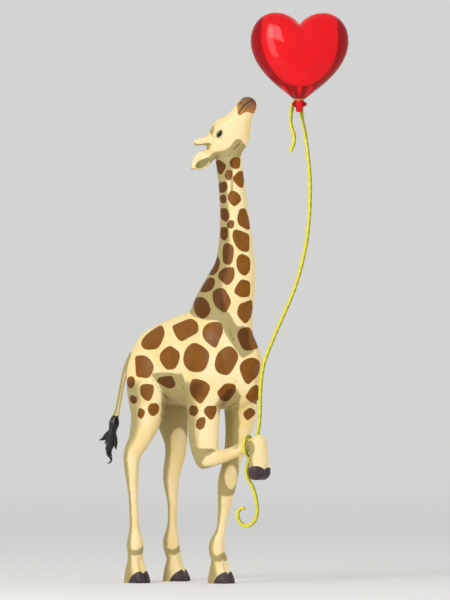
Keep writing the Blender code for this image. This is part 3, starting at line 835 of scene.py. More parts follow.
def fuller_points(skin):
    """The ossicones and the ears are a little fuller than the casting's."""
    crown = skin.head_places()[:, 1]
    right, up = skin.as_seen()
    ossicones = np.clip((crown - 30) / 12, 0, 1) * (up > 885)
    ears = np.clip((28 - right) / 14, 0, 1) * (up > 838) * (up < 885)
    skin.spots += skin.normals * (share(POINTS_FULLER) * (ossicones + 0.8 * ears))[:, None]


def carve_folds(skin):
    """The body's folds, on both sides, and the small wrinkles on the legs."""
    for side in ("near", "body_far"):
        for places, half_width, depth in BODY_CREASES:
            line = skin.line(places, side)
            if len(line) > 2:
                # Painted shade along each fold
                skin.brush("crease", line, 0.9, 1.0)
                skin.push(line, half_width, -depth)
    for right, up in [*ANKLES, FAR_KNEE_WRINKLE]:
        for lift in (0, 4.5):
            places = [(right - 6, up + lift - 1), (right, up + lift + 1), (right + 6, up + lift)]
            skin.push(skin.line(places, "near", 0.8), 2.6, -1.1)


def carve_face(skin):
    """The throat's folds, the mouth, the lower lip and the nostrils, on both sides."""
    for side in ("near", "head_far"):
        for places, half_width, depth in THROAT_CREASES:
            line = skin.line(places, side, 0.8)
            # Painted shade along each throat fold
            skin.brush("crease", line, 0.7)
            skin.push(line, half_width, -depth)
        for places, half_width, depth, painted_shade_width in FACE_LINES:
            line = skin.line(places, side, 0.6)
            # Painted shade along the mouth, the lower lip and the nostril
            skin.brush("crease", line, painted_shade_width)
            skin.push(line, half_width, -depth)


def raise_horn(skin):
    """The hooves' horn stands proud of the skin, and the soles stay flat on the floor."""
    horn = toe_horn(skin)
    proud = np.clip(horn / share(1.0) + 0.5, 0, 1)
    level = skin.normals.copy()
    level[:, 2] *= np.clip(skin.spots[:, 2] / share(12), 0, 1)
    skin.spots += level * (share(0.9) * proud)[:, None]
    skin.spots[:, 2] = np.maximum(skin.spots[:, 2], 0)
    skin.lay("horn", horn)
    # Painted shade in the cleft between the toes
    skin.lay("cleft", np.minimum(between_toes(skin), horn + share(1)))


def carve(skin):
    """Folds, mouth, nostrils, wrinkles and hooves, worked into the smooth casting."""
    carve_folds(skin)
    carve_face(skin)
    fuller_points(skin)
    widen_ears(skin)
    fuller_hand(skin)
    slim_tuft(skin)
    raise_horn(skin)


def patch_frame(spot, normal, wide, high):
    """A patch lies on the skin: its place, across, down, out of the skin, half width and half height."""
    down = (UP - UP.project(normal)).normalized()
    across = down.cross(normal).normalized()
    return np.array(spot), np.array(across), np.array(down), np.array(normal), wide, high


def inside_corners(right, up, corners, softness):
    """How far inside a bulging run of corners every (right, up) is, with the corners rounded."""
    corners = np.array(corners, float)
    middle = corners.mean(0)
    inside = None
    for start, end in zip(corners, np.roll(corners, -1, axis=0)):
        way = (end - start) / np.linalg.norm(end - start)
        out = np.array((way[1], -way[0]))
        if out @ (middle - start) > 0:
            out = -out
        depth = -((right - start[0]) * out[0] + (up - start[1]) * out[1])
        inside = depth if inside is None else soft_least(inside, depth, softness)
    return inside


def inside_outline(right, up, corners, steps=4):
    """How far inside the smooth line round these corners every (right, up) is, less than 0 outside it."""
    corners = smooth_curve([*corners, corners[0]], steps)[:-1]
    away = np.full(len(right), 1e3)
    crossings = np.zeros(len(right), int)
    for (x, y), (after_x, after_y) in zip(corners, np.roll(corners, -1, axis=0)):
        run_x, run_y = after_x - x, after_y - y
        t = np.clip(((right - x) * run_x + (up - y) * run_y) / (run_x**2 + run_y**2), 0, 1)
        away = np.minimum(away, np.hypot(right - x - t * run_x, up - y - t * run_y))
        spans = (y > up) != (after_y > up)
        with np.errstate(divide="ignore", invalid="ignore"):
            crossings += spans & (right < x + run_x * (up - y) / (run_y if run_y else 1e-9))
    return np.where(crossings % 2 == 1, away, -away)


def near_patches(skin):
    """The patches that the viewer sees. Past the outline they end soon after the skin turns away."""
    right, up = skin.as_seen()
    facing = skin.facing(-VIEWER_BACK)
    inside = np.full(len(right), FAR_OUTSIDE)
    for corners in NEAR_PATCHES:
        box = np.array(corners)
        low, high = box.min(0) - 12, box.max(0) + 12
        chosen = (right > low[0]) & (right < high[0]) & (up > low[1]) & (up < high[1])
        size = math.sqrt(np.prod(box.max(0) - box.min(0)))
        found = inside_corners(right[chosen], up[chosen], corners, patch_roundness * size)
        inside[chosen] = np.maximum(inside[chosen], found)
    shown = inside + patch_growth
    return np.minimum(shown, (facing + 0.12) * 30)


def patch_size_at(up):
    """How big the hidden patches are at this height, and the gaps between them, in metres."""
    heights = [row[0] for row in HIDDEN_PATCHES]
    return (
        share(np.interp(up, heights, [row[1] for row in HIDDEN_PATCHES])),
        share(np.interp(up, heights, [row[2] for row in HIDDEN_PATCHES])),
    )


def fill_hidden_patches(skin, near, free):
    """Sets patches one after another where the coat is barest, on the sides that the viewer doesn't see."""
    spots, normals = skin.spots[free], skin.normals[free]
    sizes, gaps = patch_size_at(skin.body_places()[free, 2])
    painted = skin.spots[near > 0][::3]
    tree = KDTree(len(painted))
    for number, spot in enumerate(painted):
        tree.insert(spot, number)
    tree.balance()
    room = np.array([tree.find(spot)[2] for spot in spots])
    frames = []
    while True:
        score = room - gaps - sizes * 0.82
        best = int(score.argmax())
        if score[best] < 0:
            return frames
        wide = min(sizes[best] * 1.12, room[best] - gaps[best])
        frames.append(patch_frame(Vector(spots[best]), Vector(normals[best]), wide, wide * 1.1))
        room = np.minimum(room, np.linalg.norm(spots - spots[best], axis=1) - wide)


def hidden_patches(skin, frames):
    """Rounded blocks that leave a channel to their neighbours."""
    reach = np.full((2, len(skin.spots)), 9.0)
    owner_size = np.full(len(skin.spots), 0.01)
    for spot, across, down, out, wide, high in frames:
        near = np.where(np.linalg.norm(skin.spots - spot, axis=1) < 3.2 * max(wide, high))[0]
        away = skin.spots[near] - spot
        x, y, z = away @ across / wide, away @ down / high, away @ out / (1.4 * min(wide, high))
        flat = (np.abs(x) ** patch_squareness + np.abs(y) ** patch_squareness) ** (1 / patch_squareness)
        measure = np.sqrt(flat**2 + z**2)
        closer = measure < reach[0, near]
        reach[1, near] = np.where(closer, reach[0, near], np.minimum(reach[1, near], measure))
        owner_size[near] = np.where(closer, math.sqrt(wide * high), owner_size[near])
        reach[0, near] = np.where(closer, measure, reach[0, near])
    to_edge = (1.12 - reach[0]) * owner_size
    to_neighbour = (reach[1] - reach[0]) / 2 * owner_size - share(patch_gap) / 2
    return soft_least(to_edge, to_neighbour, share(5))


def soft_least(first, second, softness):
    """The lesser of two fields, rounded where they meet."""
    overlap = np.clip(0.5 + 0.5 * (second - first) / softness, 0, 1)
    return second * (1 - overlap) + first * overlap - softness * overlap * (1 - overlap)


def head_and_tail(skin):
    """Which spots are on the head, with its ears and ossicones, and which on the tail."""
    along = skin.head_places()[:, 0]
    right, up = skin.as_seen()
    on_head = ((along > -12) & (up > 880)) | ((right < 31.5) & (up > 836))
    return on_head, tail_part(skin, TAIL_TOP)


def inner_legs(skin):
    """The sides of the legs that face each other."""
    _, side, up = skin.body_places().T
    return (up < 400) & (np.sign(side) * skin.normals[:, 1] < -0.25)


def paint_patches(skin):
    """The patches that the viewer sees, and others wherever else the coat is bare."""
    up = skin.body_places()[:, 2]
    right, _ = skin.as_seen()
    depth, facing = skin.depth(), skin.facing(-VIEWER_BACK)
    on_head, on_tail = head_and_tail(skin)
    far_hind_leg = (depth > 20) & (up < 372) & (right > -90) & (right < -10)
    far_foreleg = (depth > -45) & (up < 372) & (right > 30) & (right < 78)
    near = np.where(on_head | on_tail | far_hind_leg | far_foreleg, FAR_OUTSIDE, near_patches(skin))
    coat = ~on_head & ~on_tail & (up > LOWEST_PATCH - 12) & (up < HIGHEST_PATCH + 10)
    coat &= (skin.facing(-UP) < 0.45) & ~inner_legs(skin)
    hidden = hidden_patches(skin, fill_hidden_patches(skin, near, coat & (facing < 0.02) & (near < 0)))
    hidden = np.where(coat & (facing < 0.05), hidden, OUTSIDE)
    hidden = np.minimum(hidden, share(1) * (up - LOWEST_PATCH) * 0.5)
    hidden = np.minimum(hidden, share(1) * (-near - 7))
    hidden = np.minimum(hidden, share(1) * (0.04 - facing) * 40)
    skin.fields["patch"] = np.maximum(share(1) * near, hidden)


def shade_undersides(skin):
    """Shade under the belly and along the backs of the legs, the neck and the tail."""
    forward, _, up = skin.body_places().T
    right, _ = skin.as_seen()
    rear, facing = skin.facing(-VIEWER_RIGHT), skin.facing(-VIEWER_BACK)
    on_head, on_tail = head_and_tail(skin)
    before_chest = (right > 80) & (up > 240) & (forward > 20)
    skin.shade((up > 330) & ~on_head & ~before_chest, (skin.facing(-UP) - 0.35) * 22)
    legs = (up < 420) & (forward > TAIL_BEHIND) & ~before_chest
    skin.shade(legs & (up < 250), (rear - 0.52 - 0.15 * (facing < 0)) * 14)
    skin.shade(legs & (up >= 230), np.minimum((rear - 0.56) * 14, (414 - up) * 0.3))
    skin.shade((up > 560) & ~on_head, (rear - 0.42) * 18)
    skin.shade(on_tail & (up > 335), (rear - 0.1) * 8)


def shade_near_side(skin):
    """The blocks and runs of shade that the viewer sees."""
    right, up = skin.as_seen()
    depth, shown = skin.depth(), skin.facing(-VIEWER_BACK) > -0.3
    blocks = np.full(len(right), FAR_OUTSIDE)
    for corners, least, greatest in SHADE_BLOCKS.values():
        chosen = shown & (depth > least) & (depth < greatest)
        blocks = np.maximum(blocks, np.where(chosen, inside_outline(right, up, corners), FAR_OUTSIDE))
    skin.lay("shade", share(1) * blocks)
    for places, half_width, sides in SHADE_RUNS:
        for side in sides:
            line = skin.line(places, side, 2.5)
            if len(line) > 2:
                skin.brush("shade", line, half_width, 0.5)


def shade_far_legs(skin):
    """The far legs are in shade but for a lit oval on the thigh, open below, and one on the knee."""
    forward, side, up = skin.body_places().T
    right, _ = skin.as_seen()
    facing = skin.facing(-VIEWER_BACK)
    middle, height, half_width, half_height = FAR_THIGH_OVAL
    oval = (np.hypot((right - middle) / half_width, (up - height) / half_height) - 1) * half_width
    behind = middle - half_width - right - np.clip(262 - up, 0, 80) * 0.16
    before = right - middle - half_width - np.clip(285 - up, 0, 60) * 0.9
    beside = np.maximum(behind, before)
    thigh = (side > 20) & (up > 190) & (up < 400) & (forward < -20) & (facing > -0.2)
    skin.shade(thigh, np.where(up < height, beside, np.maximum(beside, oval)))
    middle, height, half_width, half_height = FAR_KNEE_OVAL
    oval = (np.hypot((right - middle) / half_width, (up - height) / half_height) - 1) * 15
    arm = (forward > 15) & (side > -22) & (up > 150) & (up < 360) & (skin.depth() > -60)
    above = np.minimum(80 - right, oval)
    below = np.minimum(up - 187 + 8 * np.clip(facing, 0, 1), oval)
    skin.shade(arm, np.where(up > 205, above, below))
    skin.shade(inner_legs(skin) & (side < 10) & (forward < 0), up - 268)


def shade_ankles(skin):
    """A band of shade under each ankle, that dips towards the viewer."""
    front = np.clip(skin.facing(-VIEWER_BACK), 0, 1)
    for right, height in ANKLES:
        spot = skin.touch(right, height, "near")[0]
        near_foot = np.linalg.norm(skin.spots[:, :2] - np.array(spot)[:2], axis=1) < share(60)
        middle = share(height + 5) - share(9) * front**1.5
        band = share(8) - share(1.8) * front**2 - np.abs(skin.spots[:, 2] - middle)
        skin.lay("shade", np.where(near_foot, band, OUTSIDE))


def paint_head(skin):
    """The head's shade, its muzzle and its inner ears."""
    along, crown, out = skin.head_places().T
    right, up = skin.as_seen()
    on_head, _ = head_and_tail(skin)
    skin.shade(on_head | (up > 840), inside_outline(along, crown, THROAT_SHADE))
    skin.shade(on_head & (np.abs(out) > 6), inside_outline(along, crown, BROW_SHADE))
    under_ossicone = np.where((crown > 20) & (along < 8), -skin.facing(HEAD_ALONG) - 0.25, OUTSIDE)
    skin.shade(under_ossicone > 0, under_ossicone * 12)
    edge = np.interp(crown, *np.array(MUZZLE_EDGE).T)
    skin.lay("muzzle", np.where(on_head, (along - edge) * share(1), OUTSIDE))
    outwards = skin.facing(HEAD_OUT) * np.sign(out) > 0.1
    skin.lay("ear", np.where(outwards, share(1) * inside_outline(right, up, EAR_LEAF, 5), OUTSIDE))


def paint_skin(skin):
    paint_patches(skin)
    shade_undersides(skin)
    shade_near_side(skin)
    shade_far_legs(skin)
    shade_ankles(skin)
    paint_head(skin)
    # Painted highlight: this field is high where the skin faces the viewer and upwards, and lower where it
    # turns to the viewer's left; the cream is painted lighter where it is high
    lit = skin.facing(-VIEWER_BACK) * 0.75 + skin.facing(UP) * 0.25 - 0.25 * skin.facing(-VIEWER_RIGHT)
    skin.fields["facing"] = lit
    hair = share(1) * (TUFT_TOP - skin.body_places()[:, 2])
    skin.lay("hair", np.where(tail_part(skin, TUFT_TOP + 17), hair, OUTSIDE))


def make_skin():
    """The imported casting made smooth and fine, finest on the face and the hooves, then carved and painted."""
    piece = merged_copy("giraffe", "giraffe_cast")
    apply_step(piece, "REMESH", mode="VOXEL", voxel_size=skin_voxel * giraffe_height)
    apply_step(piece, "SMOOTH", factor=0.5, iterations=skin_smoothing)
    apply_step(piece, "DECIMATE", ratio=skin_share_kept)
    skin = Skin(piece)
    feet = skin.spots[:, 2] < share(27)
    raised_hoof = toe_horn(skin) > -share(6)
    head = (skin.head_places()[:, 0] > -14) & (skin.spots[:, 2] > share(885))
    subdivide_where(piece, head | feet | raised_hoof)
    apply_step(piece, "SMOOTH", factor=0.5, iterations=fine_smoothing)
    skin = Skin(piece)
    skin.spots[:, 2] = np.where(skin.spots[:, 2] < share(1.2), 0, skin.spots[:, 2])
    carve(skin)
    move_spots(piece, skin.spots)
    skin.read()
    paint_skin(skin)
    skin.keep_fields()
    shade_smooth(piece)
    own(piece, "giraffe", coat_paint(), "giraffe")
    return skin


def coat_paint():
    """Hand-brushed satin enamel over a casting, with painted shade, a painted highlight on the cream and
    painted shade in the creases.
    """
    paint = Paint("coat_enamel", IOR=1.5, Specular_IOR_Level=0.2)
    wave = paint.noise(38, 3)
    streak = paint.noise(260, 2, stretch=(1, 1, 0.16))
    grain = paint.noise(900, 2)
    wobble = (wave - 0.5) * 0.0016 + (grain - 0.5) * 0.0004
    patch = paint.step(paint.field("patch") + wobble, -0.0006, 0.0006)
    shade = paint.step(paint.field("shade") + wobble * 2, -0.0022, 0.0022)
    crease = paint.step(paint.field("crease") + wobble * 0.5, -0.0009, 0.0006)
    horn = paint.step(paint.field("horn"), -0.0004, 0.0004)
    muzzle = paint.step(paint.field("muzzle") + wobble * 3, -0.002, 0.002)
    hair = paint.step(paint.field("hair") + (streak - 0.5) * 0.012, -0.001, 0.001)
    tone = paint.step(wave * 0.7 + streak * 0.3, 0.25, 0.75)
    # Painted highlight: the cream is lighter where the skin faces the viewer and upwards
    painted_highlight_part = paint.step(paint.field("facing") + (paint.noise(22, 3) - 0.5) * 1.7, 0.35, 0.95)
    cream = paint.mix(painted_highlight_part, CREAM, CREAM_PAINTED_HIGHLIGHT)
    brown = paint.mix(tone, PATCH_BROWN_DEEP, PATCH_BROWN_PALE)
    lit = paint.mix(patch, cream, brown)
    # Painted shade: tan on the cream and a darker brown on the patches
    dark = paint.mix(patch, PAINTED_SHADE_TAN, PATCH_SHADE)
    coat = paint.mix(shade, lit, dark)
    far_on = paint.step(paint.field("muzzle") + (paint.noise(90, 3) - 0.5) * 0.03, 0.004, 0.026)
    snout = paint.mix(far_on, MUZZLE_ORANGE, MUZZLE_DARK)
    snout = paint.mix(paint.step(streak, 0.45, 0.75) * 0.5, snout, MUZZLE_DEEP)
    coat = paint.mix(muzzle, coat, snout)
    inner_ear = paint.step(paint.field("ear") + wobble, -0.001, 0.001)
    coat = paint.mix(inner_ear, coat, EAR_OLIVE)
    coat = paint.mix(horn, coat, paint.mix(tone, HORN_DARK, HORN))
    # Painted shade: a near-black line in the cleft between the toes
    coat = paint.mix(paint.step(paint.field("cleft"), -0.0004, 0.0006), coat, HAIR)
    coat = paint.mix(hair, coat, HAIR)
    # Painted shade darkens the folds, the mouth and the nostrils
    coat = paint.mix(crease * 0.85, coat, CREASE_PAINTED_SHADE)
    paint.cover(Base_Color=coat, Roughness=0.36 + tone * 0.1 - horn * 0.06)
    paint.bump(streak * 0.6 + grain * 0.4 + patch * 0.35, 0.0005, 0.35)
    return paint.material


# Eyes, with their lids
def swept(name, centres, girths, corners, sideways=None):
    """A tube along a run of spots. girths gives its half width and half thickness at each spot."""
    centres = np.array(centres)
    runs = np.gradient(centres, axis=0)
    runs /= np.linalg.norm(runs, axis=1)[:, None]
    out = np.array(sideways if sideways is not None else VIEWER_BACK, float)
    turns = np.arange(corners) * 2 * math.pi / corners
    rings = []
    for centre, run, (wide, thick) in zip(centres, runs, girths):
        out = out - run * (out @ run)
        out /= np.linalg.norm(out)
        across = np.cross(run, out)
        rings.append(centre + np.outer(np.cos(turns) * wide, across) + np.outer(np.sin(turns) * thick, out))
    piece = mesh_piece(name, np.concatenate(rings), tube_faces(len(rings), corners))
    right_side_out(piece)
    return piece


def almond(share_of_way):
    """Half height of the eye's opening, as a share of its greatest, from its back corner to its front."""
    return math.sin(math.pi * share_of_way) ** 0.8


def make_ball(middle, along, crown, out):
    deselect()
    bpy.ops.mesh.primitive_uv_sphere_add(segments=40, ring_count=20, radius=1, location=(0, 0, 0))
    ball = bpy.context.object
    sizes = Matrix.Diagonal((share(EYE_LENGTH), share(EYE_HEIGHT + 0.6), share(EYE_BULGE)))
    frame_of_eye = Matrix((along, crown, out)).transposed()
    ball.matrix_world = Matrix.Translation(middle) @ (frame_of_eye @ sizes).to_4x4()
    place_in_mesh(ball)
    return ball


def make_lid(middle, along, crown, out, lid, height, thickness):
    """A thin roll along the edge of the eye's opening, above it or below it."""
    centres, girths = [], []
    for t in np.arange(lid_steps + 1) / lid_steps:
        x = (2 * t - 1) * (EYE_LENGTH + 0.8)
        y = lid * height * almond(t) * (EYE_HEIGHT - 0.2)
        lift = EYE_BULGE * math.sqrt(max(0.02, 1 - (x / 11.5) ** 2 - (y / 7.5) ** 2)) - 0.9
        centres.append(middle + along * share(x) + crown * share(y) + out * share(lift))
        girth = share(thickness) * (0.35 + 0.65 * math.sin(math.pi * min(1, t + 0.02)) ** 0.6)
        girths.append((girth, girth * 0.8))
    return swept("lid", centres, girths, 12, sideways=out)


def make_eyes(skin):
    balls, lids = [], []
    for side in ("near", "head_far"):
        spot, normal, _, _ = skin.touch(*EYE, side)
        out = (normal + skin.touch(EYE[0] + 5, EYE[1] + 6, side)[1]).normalized()
        along = (HEAD_ALONG - HEAD_ALONG.project(out)).normalized()
        crown = (HEAD_CROWN - HEAD_CROWN.project(out) - HEAD_CROWN.project(along)).normalized()
        middle = spot - out * share(0.8)
        balls.append(make_ball(middle, along, crown, out))
        for lid, height, thickness in LIDS:
            lids.append(make_lid(middle, along, crown, out, lid, height, thickness))
    eyes = joined("eyes", balls)
    shade_smooth(eyes)
    own(eyes, "giraffe", eye_paint())
    rims = joined("eyelids", lids)
    shade_smooth(rims)
    # The lids are painted in the shade tan and olive: painted shade round the eye
    own(rims, "giraffe", plain_enamel("eyelid_painted_shade", PAINTED_SHADE_TAN, EAR_OLIVE, 0.4))


def plain_enamel(name, first, second, roughness):
    """Hand-brushed enamel in two near tones."""
    paint = Paint(name, IOR=1.5)
    tone = paint.step(paint.noise(140, 3), 0.3, 0.7)
    paint.cover(Base_Color=paint.mix(tone, first, second), Roughness=roughness + tone * 0.08)
    paint.bump(paint.noise(900, 2), 0.0003, 0.3)
    return paint.material


def eye_paint():
    paint = Paint("eye_gloss", Specular_IOR_Level=0.15, Coat_Weight=0.4, Coat_Roughness=0.03)
    tone = paint.step(paint.noise(300, 2), 0.3, 0.7)
    paint.cover(Base_Color=paint.mix(tone, PUPIL, PUPIL_BROWN), Roughness=0.12 + tone * 0.05)
    return paint.material


# The tail's tuft
# Each lock: its (right, up) places, its half width at each of them, and how far it stands to the side
TUFT_LOCKS = [
    (
        [(-173, 345), (-176, 337), (-178, 326), (-181, 312), (-184, 298), (-186, 284), (-189, 271),
         (-189, 261), (-184, 253), (-186, 246), (-192, 243)],
        [4.6, 8, 11, 8.6, 10, 9.4, 6.6, 4.2, 2.6, 1.8, 0.7],
        0,
    ),
    ([(-183, 308), (-193, 300), (-201, 294), (-209, 291)], [8, 7, 3.8, 0.7], -2),
    ([(-185, 298), (-192, 290), (-198, 284)], [8, 4.5, 0.7], 3),
    ([(-180, 304), (-177, 290), (-175, 281), (-174, 272)], [7, 6.5, 4, 0.7], 2),
    ([(-180, 322), (-183, 302), (-186, 286), (-188, 272)], [7, 8, 6, 0.7], -6),
    ([(-179, 322), (-184, 302), (-187, 284), (-190, 274)], [7, 8, 5, 0.7], 6),
]
lock_corners = 28
comb_teeth = 7
comb_depth = 0.10


def make_tuft():
    locks = []
    for number, (places, widths, back) in enumerate(TUFT_LOCKS):
        run = smooth_curve([(*spot, width) for spot, width in zip(places, widths)], 10)
        centres, girths = [], []
        for k, (right, up, width) in enumerate(run):
            t = k / (len(run) - 1)
            side = back * (0.3 + 0.7 * math.sin(math.pi * t))
            centres.append(place((right - side * math.sin(viewer_turn)) / math.cos(viewer_turn), side, up))
            girths.append((share(width), share(width) * 0.85))
        lock = swept("lock", centres, girths, lock_corners)
        flute(lock, lock_corners, number)
        locks.append(lock)
    tuft = joined("tail_tuft", locks)
    shade_smooth(tuft)
    own(tuft, "giraffe", hair_paint())


def flute(lock, corners, number):
    """Cuts long grooves into a lock, as a modeller's comb does."""
    rings = spots_of(lock).reshape(-1, corners, 3)
    middles = rings.mean(1, keepdims=True)
    turns = np.arange(corners) * 2 * math.pi / corners
    ring_turn = np.arange(len(rings)) * 0.06 + number
    groove = 1 - comb_depth * (0.5 + 0.5 * np.cos(comb_teeth * turns[None, :] + ring_turn[:, None]))
    move_spots(lock, middles + (rings - middles) * groove[:, :, None])


def hair_paint():
    paint = Paint("tuft_enamel", IOR=1.5)
    streak = paint.noise(320, 3, stretch=(1, 1, 0.12))
    tone = paint.step(streak, 0.35, 0.7)
    paint.cover(Base_Color=paint.mix(tone, HAIR, HAIR_SHINE), Roughness=0.3 + tone * 0.15)
    paint.bump(streak, 0.0008, 0.5)
    return paint.material


# The balloon
# The heart's outline: its width goes as a power of a sine, and its height is a sum of cosines
HEART_POWER = 2.36
HEART_COSINES = (0.986, 0.9418, -0.2375, -0.1267, -0.0301)
HEART_MIDDLE = 1.12
heart_corners = 96
heart_rings = 18
curve_steps = 4000
knot_corners = 72
lip_ruffles = 7
lip_ruffle_depth = 0.05
rib_height = 0.0004
rib_half_width = 0.0003
# The neck, the knot and its lip from top to bottom: height over the tie and radius, in metres
knot_rows = [
    (0.0100, balloon_neck_radius * 0.60),
    (0.0020, balloon_neck_radius),
    (-0.0024, balloon_neck_radius),
    (-0.0058, balloon_lip_radius * 0.86),
    (-0.0092, balloon_lip_radius),
    (-0.0126, balloon_lip_radius * 0.92),
    (-0.0156, balloon_lip_radius * 0.58),
    (-0.0178, balloon_lip_radius * 0.47),
    (-0.0222, balloon_lip_radius * 0.46),
    (-0.0252, balloon_lip_radius * 0.36),
    (-0.0265, balloon_lip_radius * 0.12),
]
# The middle of the tie
TIE = (208, 48, 997)


def beside_tie(right, back, up):
    """A place by the tie, in metres to the viewer's right, back and up."""
    return place(*TIE) + VIEWER_RIGHT * right + VIEWER_BACK * back + UP * up


def heart_place(right, back, up):
    """The same for the balloon, which leans a little."""
    lean = balloon_lean
    return beside_tie(
        right * math.cos(lean) + up * math.sin(lean), back, up * math.cos(lean) - right * math.sin(lean)
    )


def heart_outline():
    """(right, up) round the heart from its notch, in even steps."""
    angles = np.linspace(0, 2 * math.pi, curve_steps + 1)
    wide = np.sign(np.sin(angles)) * np.abs(np.sin(angles)) ** HEART_POWER
    tall = sum(part * np.cos(order * angles) for order, part in enumerate(HEART_COSINES))
    fine = np.stack([wide, tall], 1) * balloon_width / 2
    walked = np.concatenate(([0], np.cumsum(np.linalg.norm(np.diff(fine, axis=0), axis=1))))
    half = heart_corners // 2
    stops = np.linspace(0, walked[curve_steps // 2], half + 1)
    right = np.interp(stops, walked, fine[:, 0])
    up = np.interp(stops, walked, fine[:, 1])
    mirrored = list(zip(-right[half - 1 : 0 : -1], up[half - 1 : 0 : -1]))
    return np.array([*zip(right, up), *mirrored])


def film_heights(spots, triangles, rim_count):
    """How far a film blown over the flat shape stands off it at each spot, by linear elements."""
    count = len(spots)
    stiffness = np.zeros((count, count))
    load = np.zeros(count)
    for triangle in triangles:
        corners = spots[list(triangle)]
        edges = np.roll(corners, -2, axis=0) - np.roll(corners, -1, axis=0)
        area = abs(edges[0][0] * edges[1][1] - edges[0][1] * edges[1][0]) / 2
        stiffness[np.ix_(triangle, triangle)] += edges @ edges.T / (4 * area)
        load[list(triangle)] += area / 3
    heights = np.zeros(count)
    free = slice(rim_count, count)
    heights[free] = np.linalg.solve(stiffness[free, free], load[free])
    return heights


def make_heart():
    outline = heart_outline()
    corners = len(outline)
    middle = np.array((0, HEART_MIDDLE * balloon_width / 2))
    shrunk = [math.cos(k / heart_rings * math.pi / 2) for k in range(heart_rings)]
    spots = np.concatenate([*(middle + (outline - middle) * part for part in shrunk), [middle]])
    faces = ring_faces(heart_rings, corners)
    last = (heart_rings - 1) * corners
    tips = [(last + k, last + (k + 1) % corners, len(spots) - 1) for k in range(corners)]
    triangles = [corner for face in faces for corner in (face[:3], (face[0], face[2], face[3]))] + tips
    blown = np.sqrt(np.maximum(0, film_heights(spots, triangles, corners)))
    blown *= balloon_depth / 2 / blown.max()
    count = len(spots)
    places = [heart_place(x, height, z) for (x, z), height in zip(spots, blown)]
    places += [heart_place(x, -height, z) for (x, z), height in zip(spots, blown)]
    whole = [*faces, *tips]
    whole += [tuple(i if i < corners else i + count for i in face)[::-1] for face in whole]
    piece = mesh_piece("heart", places, whole)
    with all_in_edit(piece):
        bpy.ops.mesh.delete_loose()
    right_side_out(piece)
    apply_step(piece, "SUBSURF", levels=2, render_levels=2)
    return piece


# Where the lit part of the heart begins, (right, up) from the tie, on a heart 202 wide; outside it the red is
# darkened with painted shade
LIT_HEART = [
    (-77, 150), (-72, 176), (-40, 196), (0, 190), (40, 196), (74, 172), (79, 142), (79, 112),
    (70, 76), (52, 50), (30, 34), (4, 28), (-24, 33), (-48, 52), (-68, 84), (-78, 118),
]
lit_heart_width = 202
# Lit streaks on the gathered film, left free of the painted shade, each from its foot to its top
PLEATS = [((-20, 6), (-32, 24)), ((0, 6), (0, 25)), ((14, 6), (24, 25))]
pleat_height = 0.032
pleat_depth = 0.16
pleat_count = 9


def paint_balloon(piece):
    """Painted shade in deep red towards the seam, and the lit middle left bright, the same before and behind.
    """
    away = (spots_of(piece) - np.array(beside_tie(0, 0, 0))) / balloon_width * lit_heart_width
    right, up = away @ np.array(VIEWER_RIGHT), away[:, 2]
    lit = inside_outline(right, up, LIT_HEART, 6)
    for (x, y), (top_x, top_y) in PLEATS:
        run_x, run_y = top_x - x, top_y - y
        t = np.clip(((right - x) * run_x + (up - y) * run_y) / (run_x**2 + run_y**2), 0, 1)
        reach = np.hypot(right - x - t * run_x, up - y - t * run_y)
        lit = np.maximum(lit, 1.0 + 3.2 * t - reach)
    # On the knot only a narrow middle strip is left lit, and the rest takes the painted shade
    lit = np.where(up < 2, np.where(np.abs(right) < 5, 3.0, -3.0), lit)
    carry_field(piece, "rim", -lit / 1000)


def pleat(piece):
    """Gathers the film into folds where the band draws it together."""
    spots = spots_of(piece)
    away = spots - np.array(beside_tie(0, 0, 0))
    across, back, up = away @ np.array(VIEWER_RIGHT), away @ np.array(VIEWER_BACK), away[:, 2]
    fade = np.clip(1 - up / pleat_height, 0, 1) ** 1.5 * np.clip(up / 0.004 + 0.4, 0, 1)
    fold = (0.5 - 0.5 * np.cos(pleat_count * np.arctan2(across, -back))) ** 0.6
    inwards = -pleat_depth * fade * (1 - fold)
    spots += np.outer(across * inwards, VIEWER_RIGHT) + np.outer(back * inwards, VIEWER_BACK)
    move_spots(piece, spots)


def make_knot():
    stations = smooth_curve([(height * 1000, radius * 1000) for height, radius in knot_rows], 6) / 1000
    turns = np.arange(knot_corners) * 2 * math.pi / knot_corners
    rings = []
    for height, radius in stations:
        radius = max(radius, 0.0006)
        open_share = max(0.0, (radius - balloon_neck_radius) / (balloon_lip_radius - balloon_neck_radius))
        flat = 1 - (1 - balloon_lip_flatness) * min(1, open_share)
        ripple = 1 + lip_ruffle_depth * min(1, open_share) * np.cos(lip_ruffles * turns + 0.6)
        for turn, ruffle in zip(turns, ripple):
            across = radius * ruffle
            rings.append(beside_tie(across * math.cos(turn), across * flat * math.sin(turn), height))
    piece = mesh_piece("knot", rings, tube_faces(len(stations), knot_corners))
    right_side_out(piece)
    return piece


def make_balloon():
    heart = make_heart()
    pleat(heart)
    cut = beside_tie(0, 0, tie_height / 2 + fit_gap)
    with all_in_edit(heart):
        bpy.ops.mesh.bisect(plane_co=cut, plane_no=UP, use_fill=True, clear_inner=True)
    balloon = joined("heart_balloon", [heart, make_knot()])
    paint_balloon(balloon)
    shade_smooth(balloon, 50)
    own(balloon, "balloon", balloon_paint(), "balloon")


def balloon_paint():
    """Stretched red film: painted shade in deep red along the seam, glossy all over."""
    coat = {"Coat_Weight": 0.38, "Coat_Roughness": 0.04, "Coat_IOR": 1.4}
    paint = Paint("balloon_film", Specular_IOR_Level=0.05, **coat)
    tone = paint.step(paint.noise(14, 2), 0.3, 0.7)
    rim = paint.step(paint.field("rim") + (paint.noise(30, 2) - 0.5) * 0.001, -0.0022, 0.0022)
    red = paint.mix(tone, BALLOON_RED, BALLOON_RED_WORN)
    paint.cover(Base_Color=paint.mix(rim, red, BALLOON_PAINTED_SHADE), Roughness=0.16 + tone * 0.05)
    return paint.material


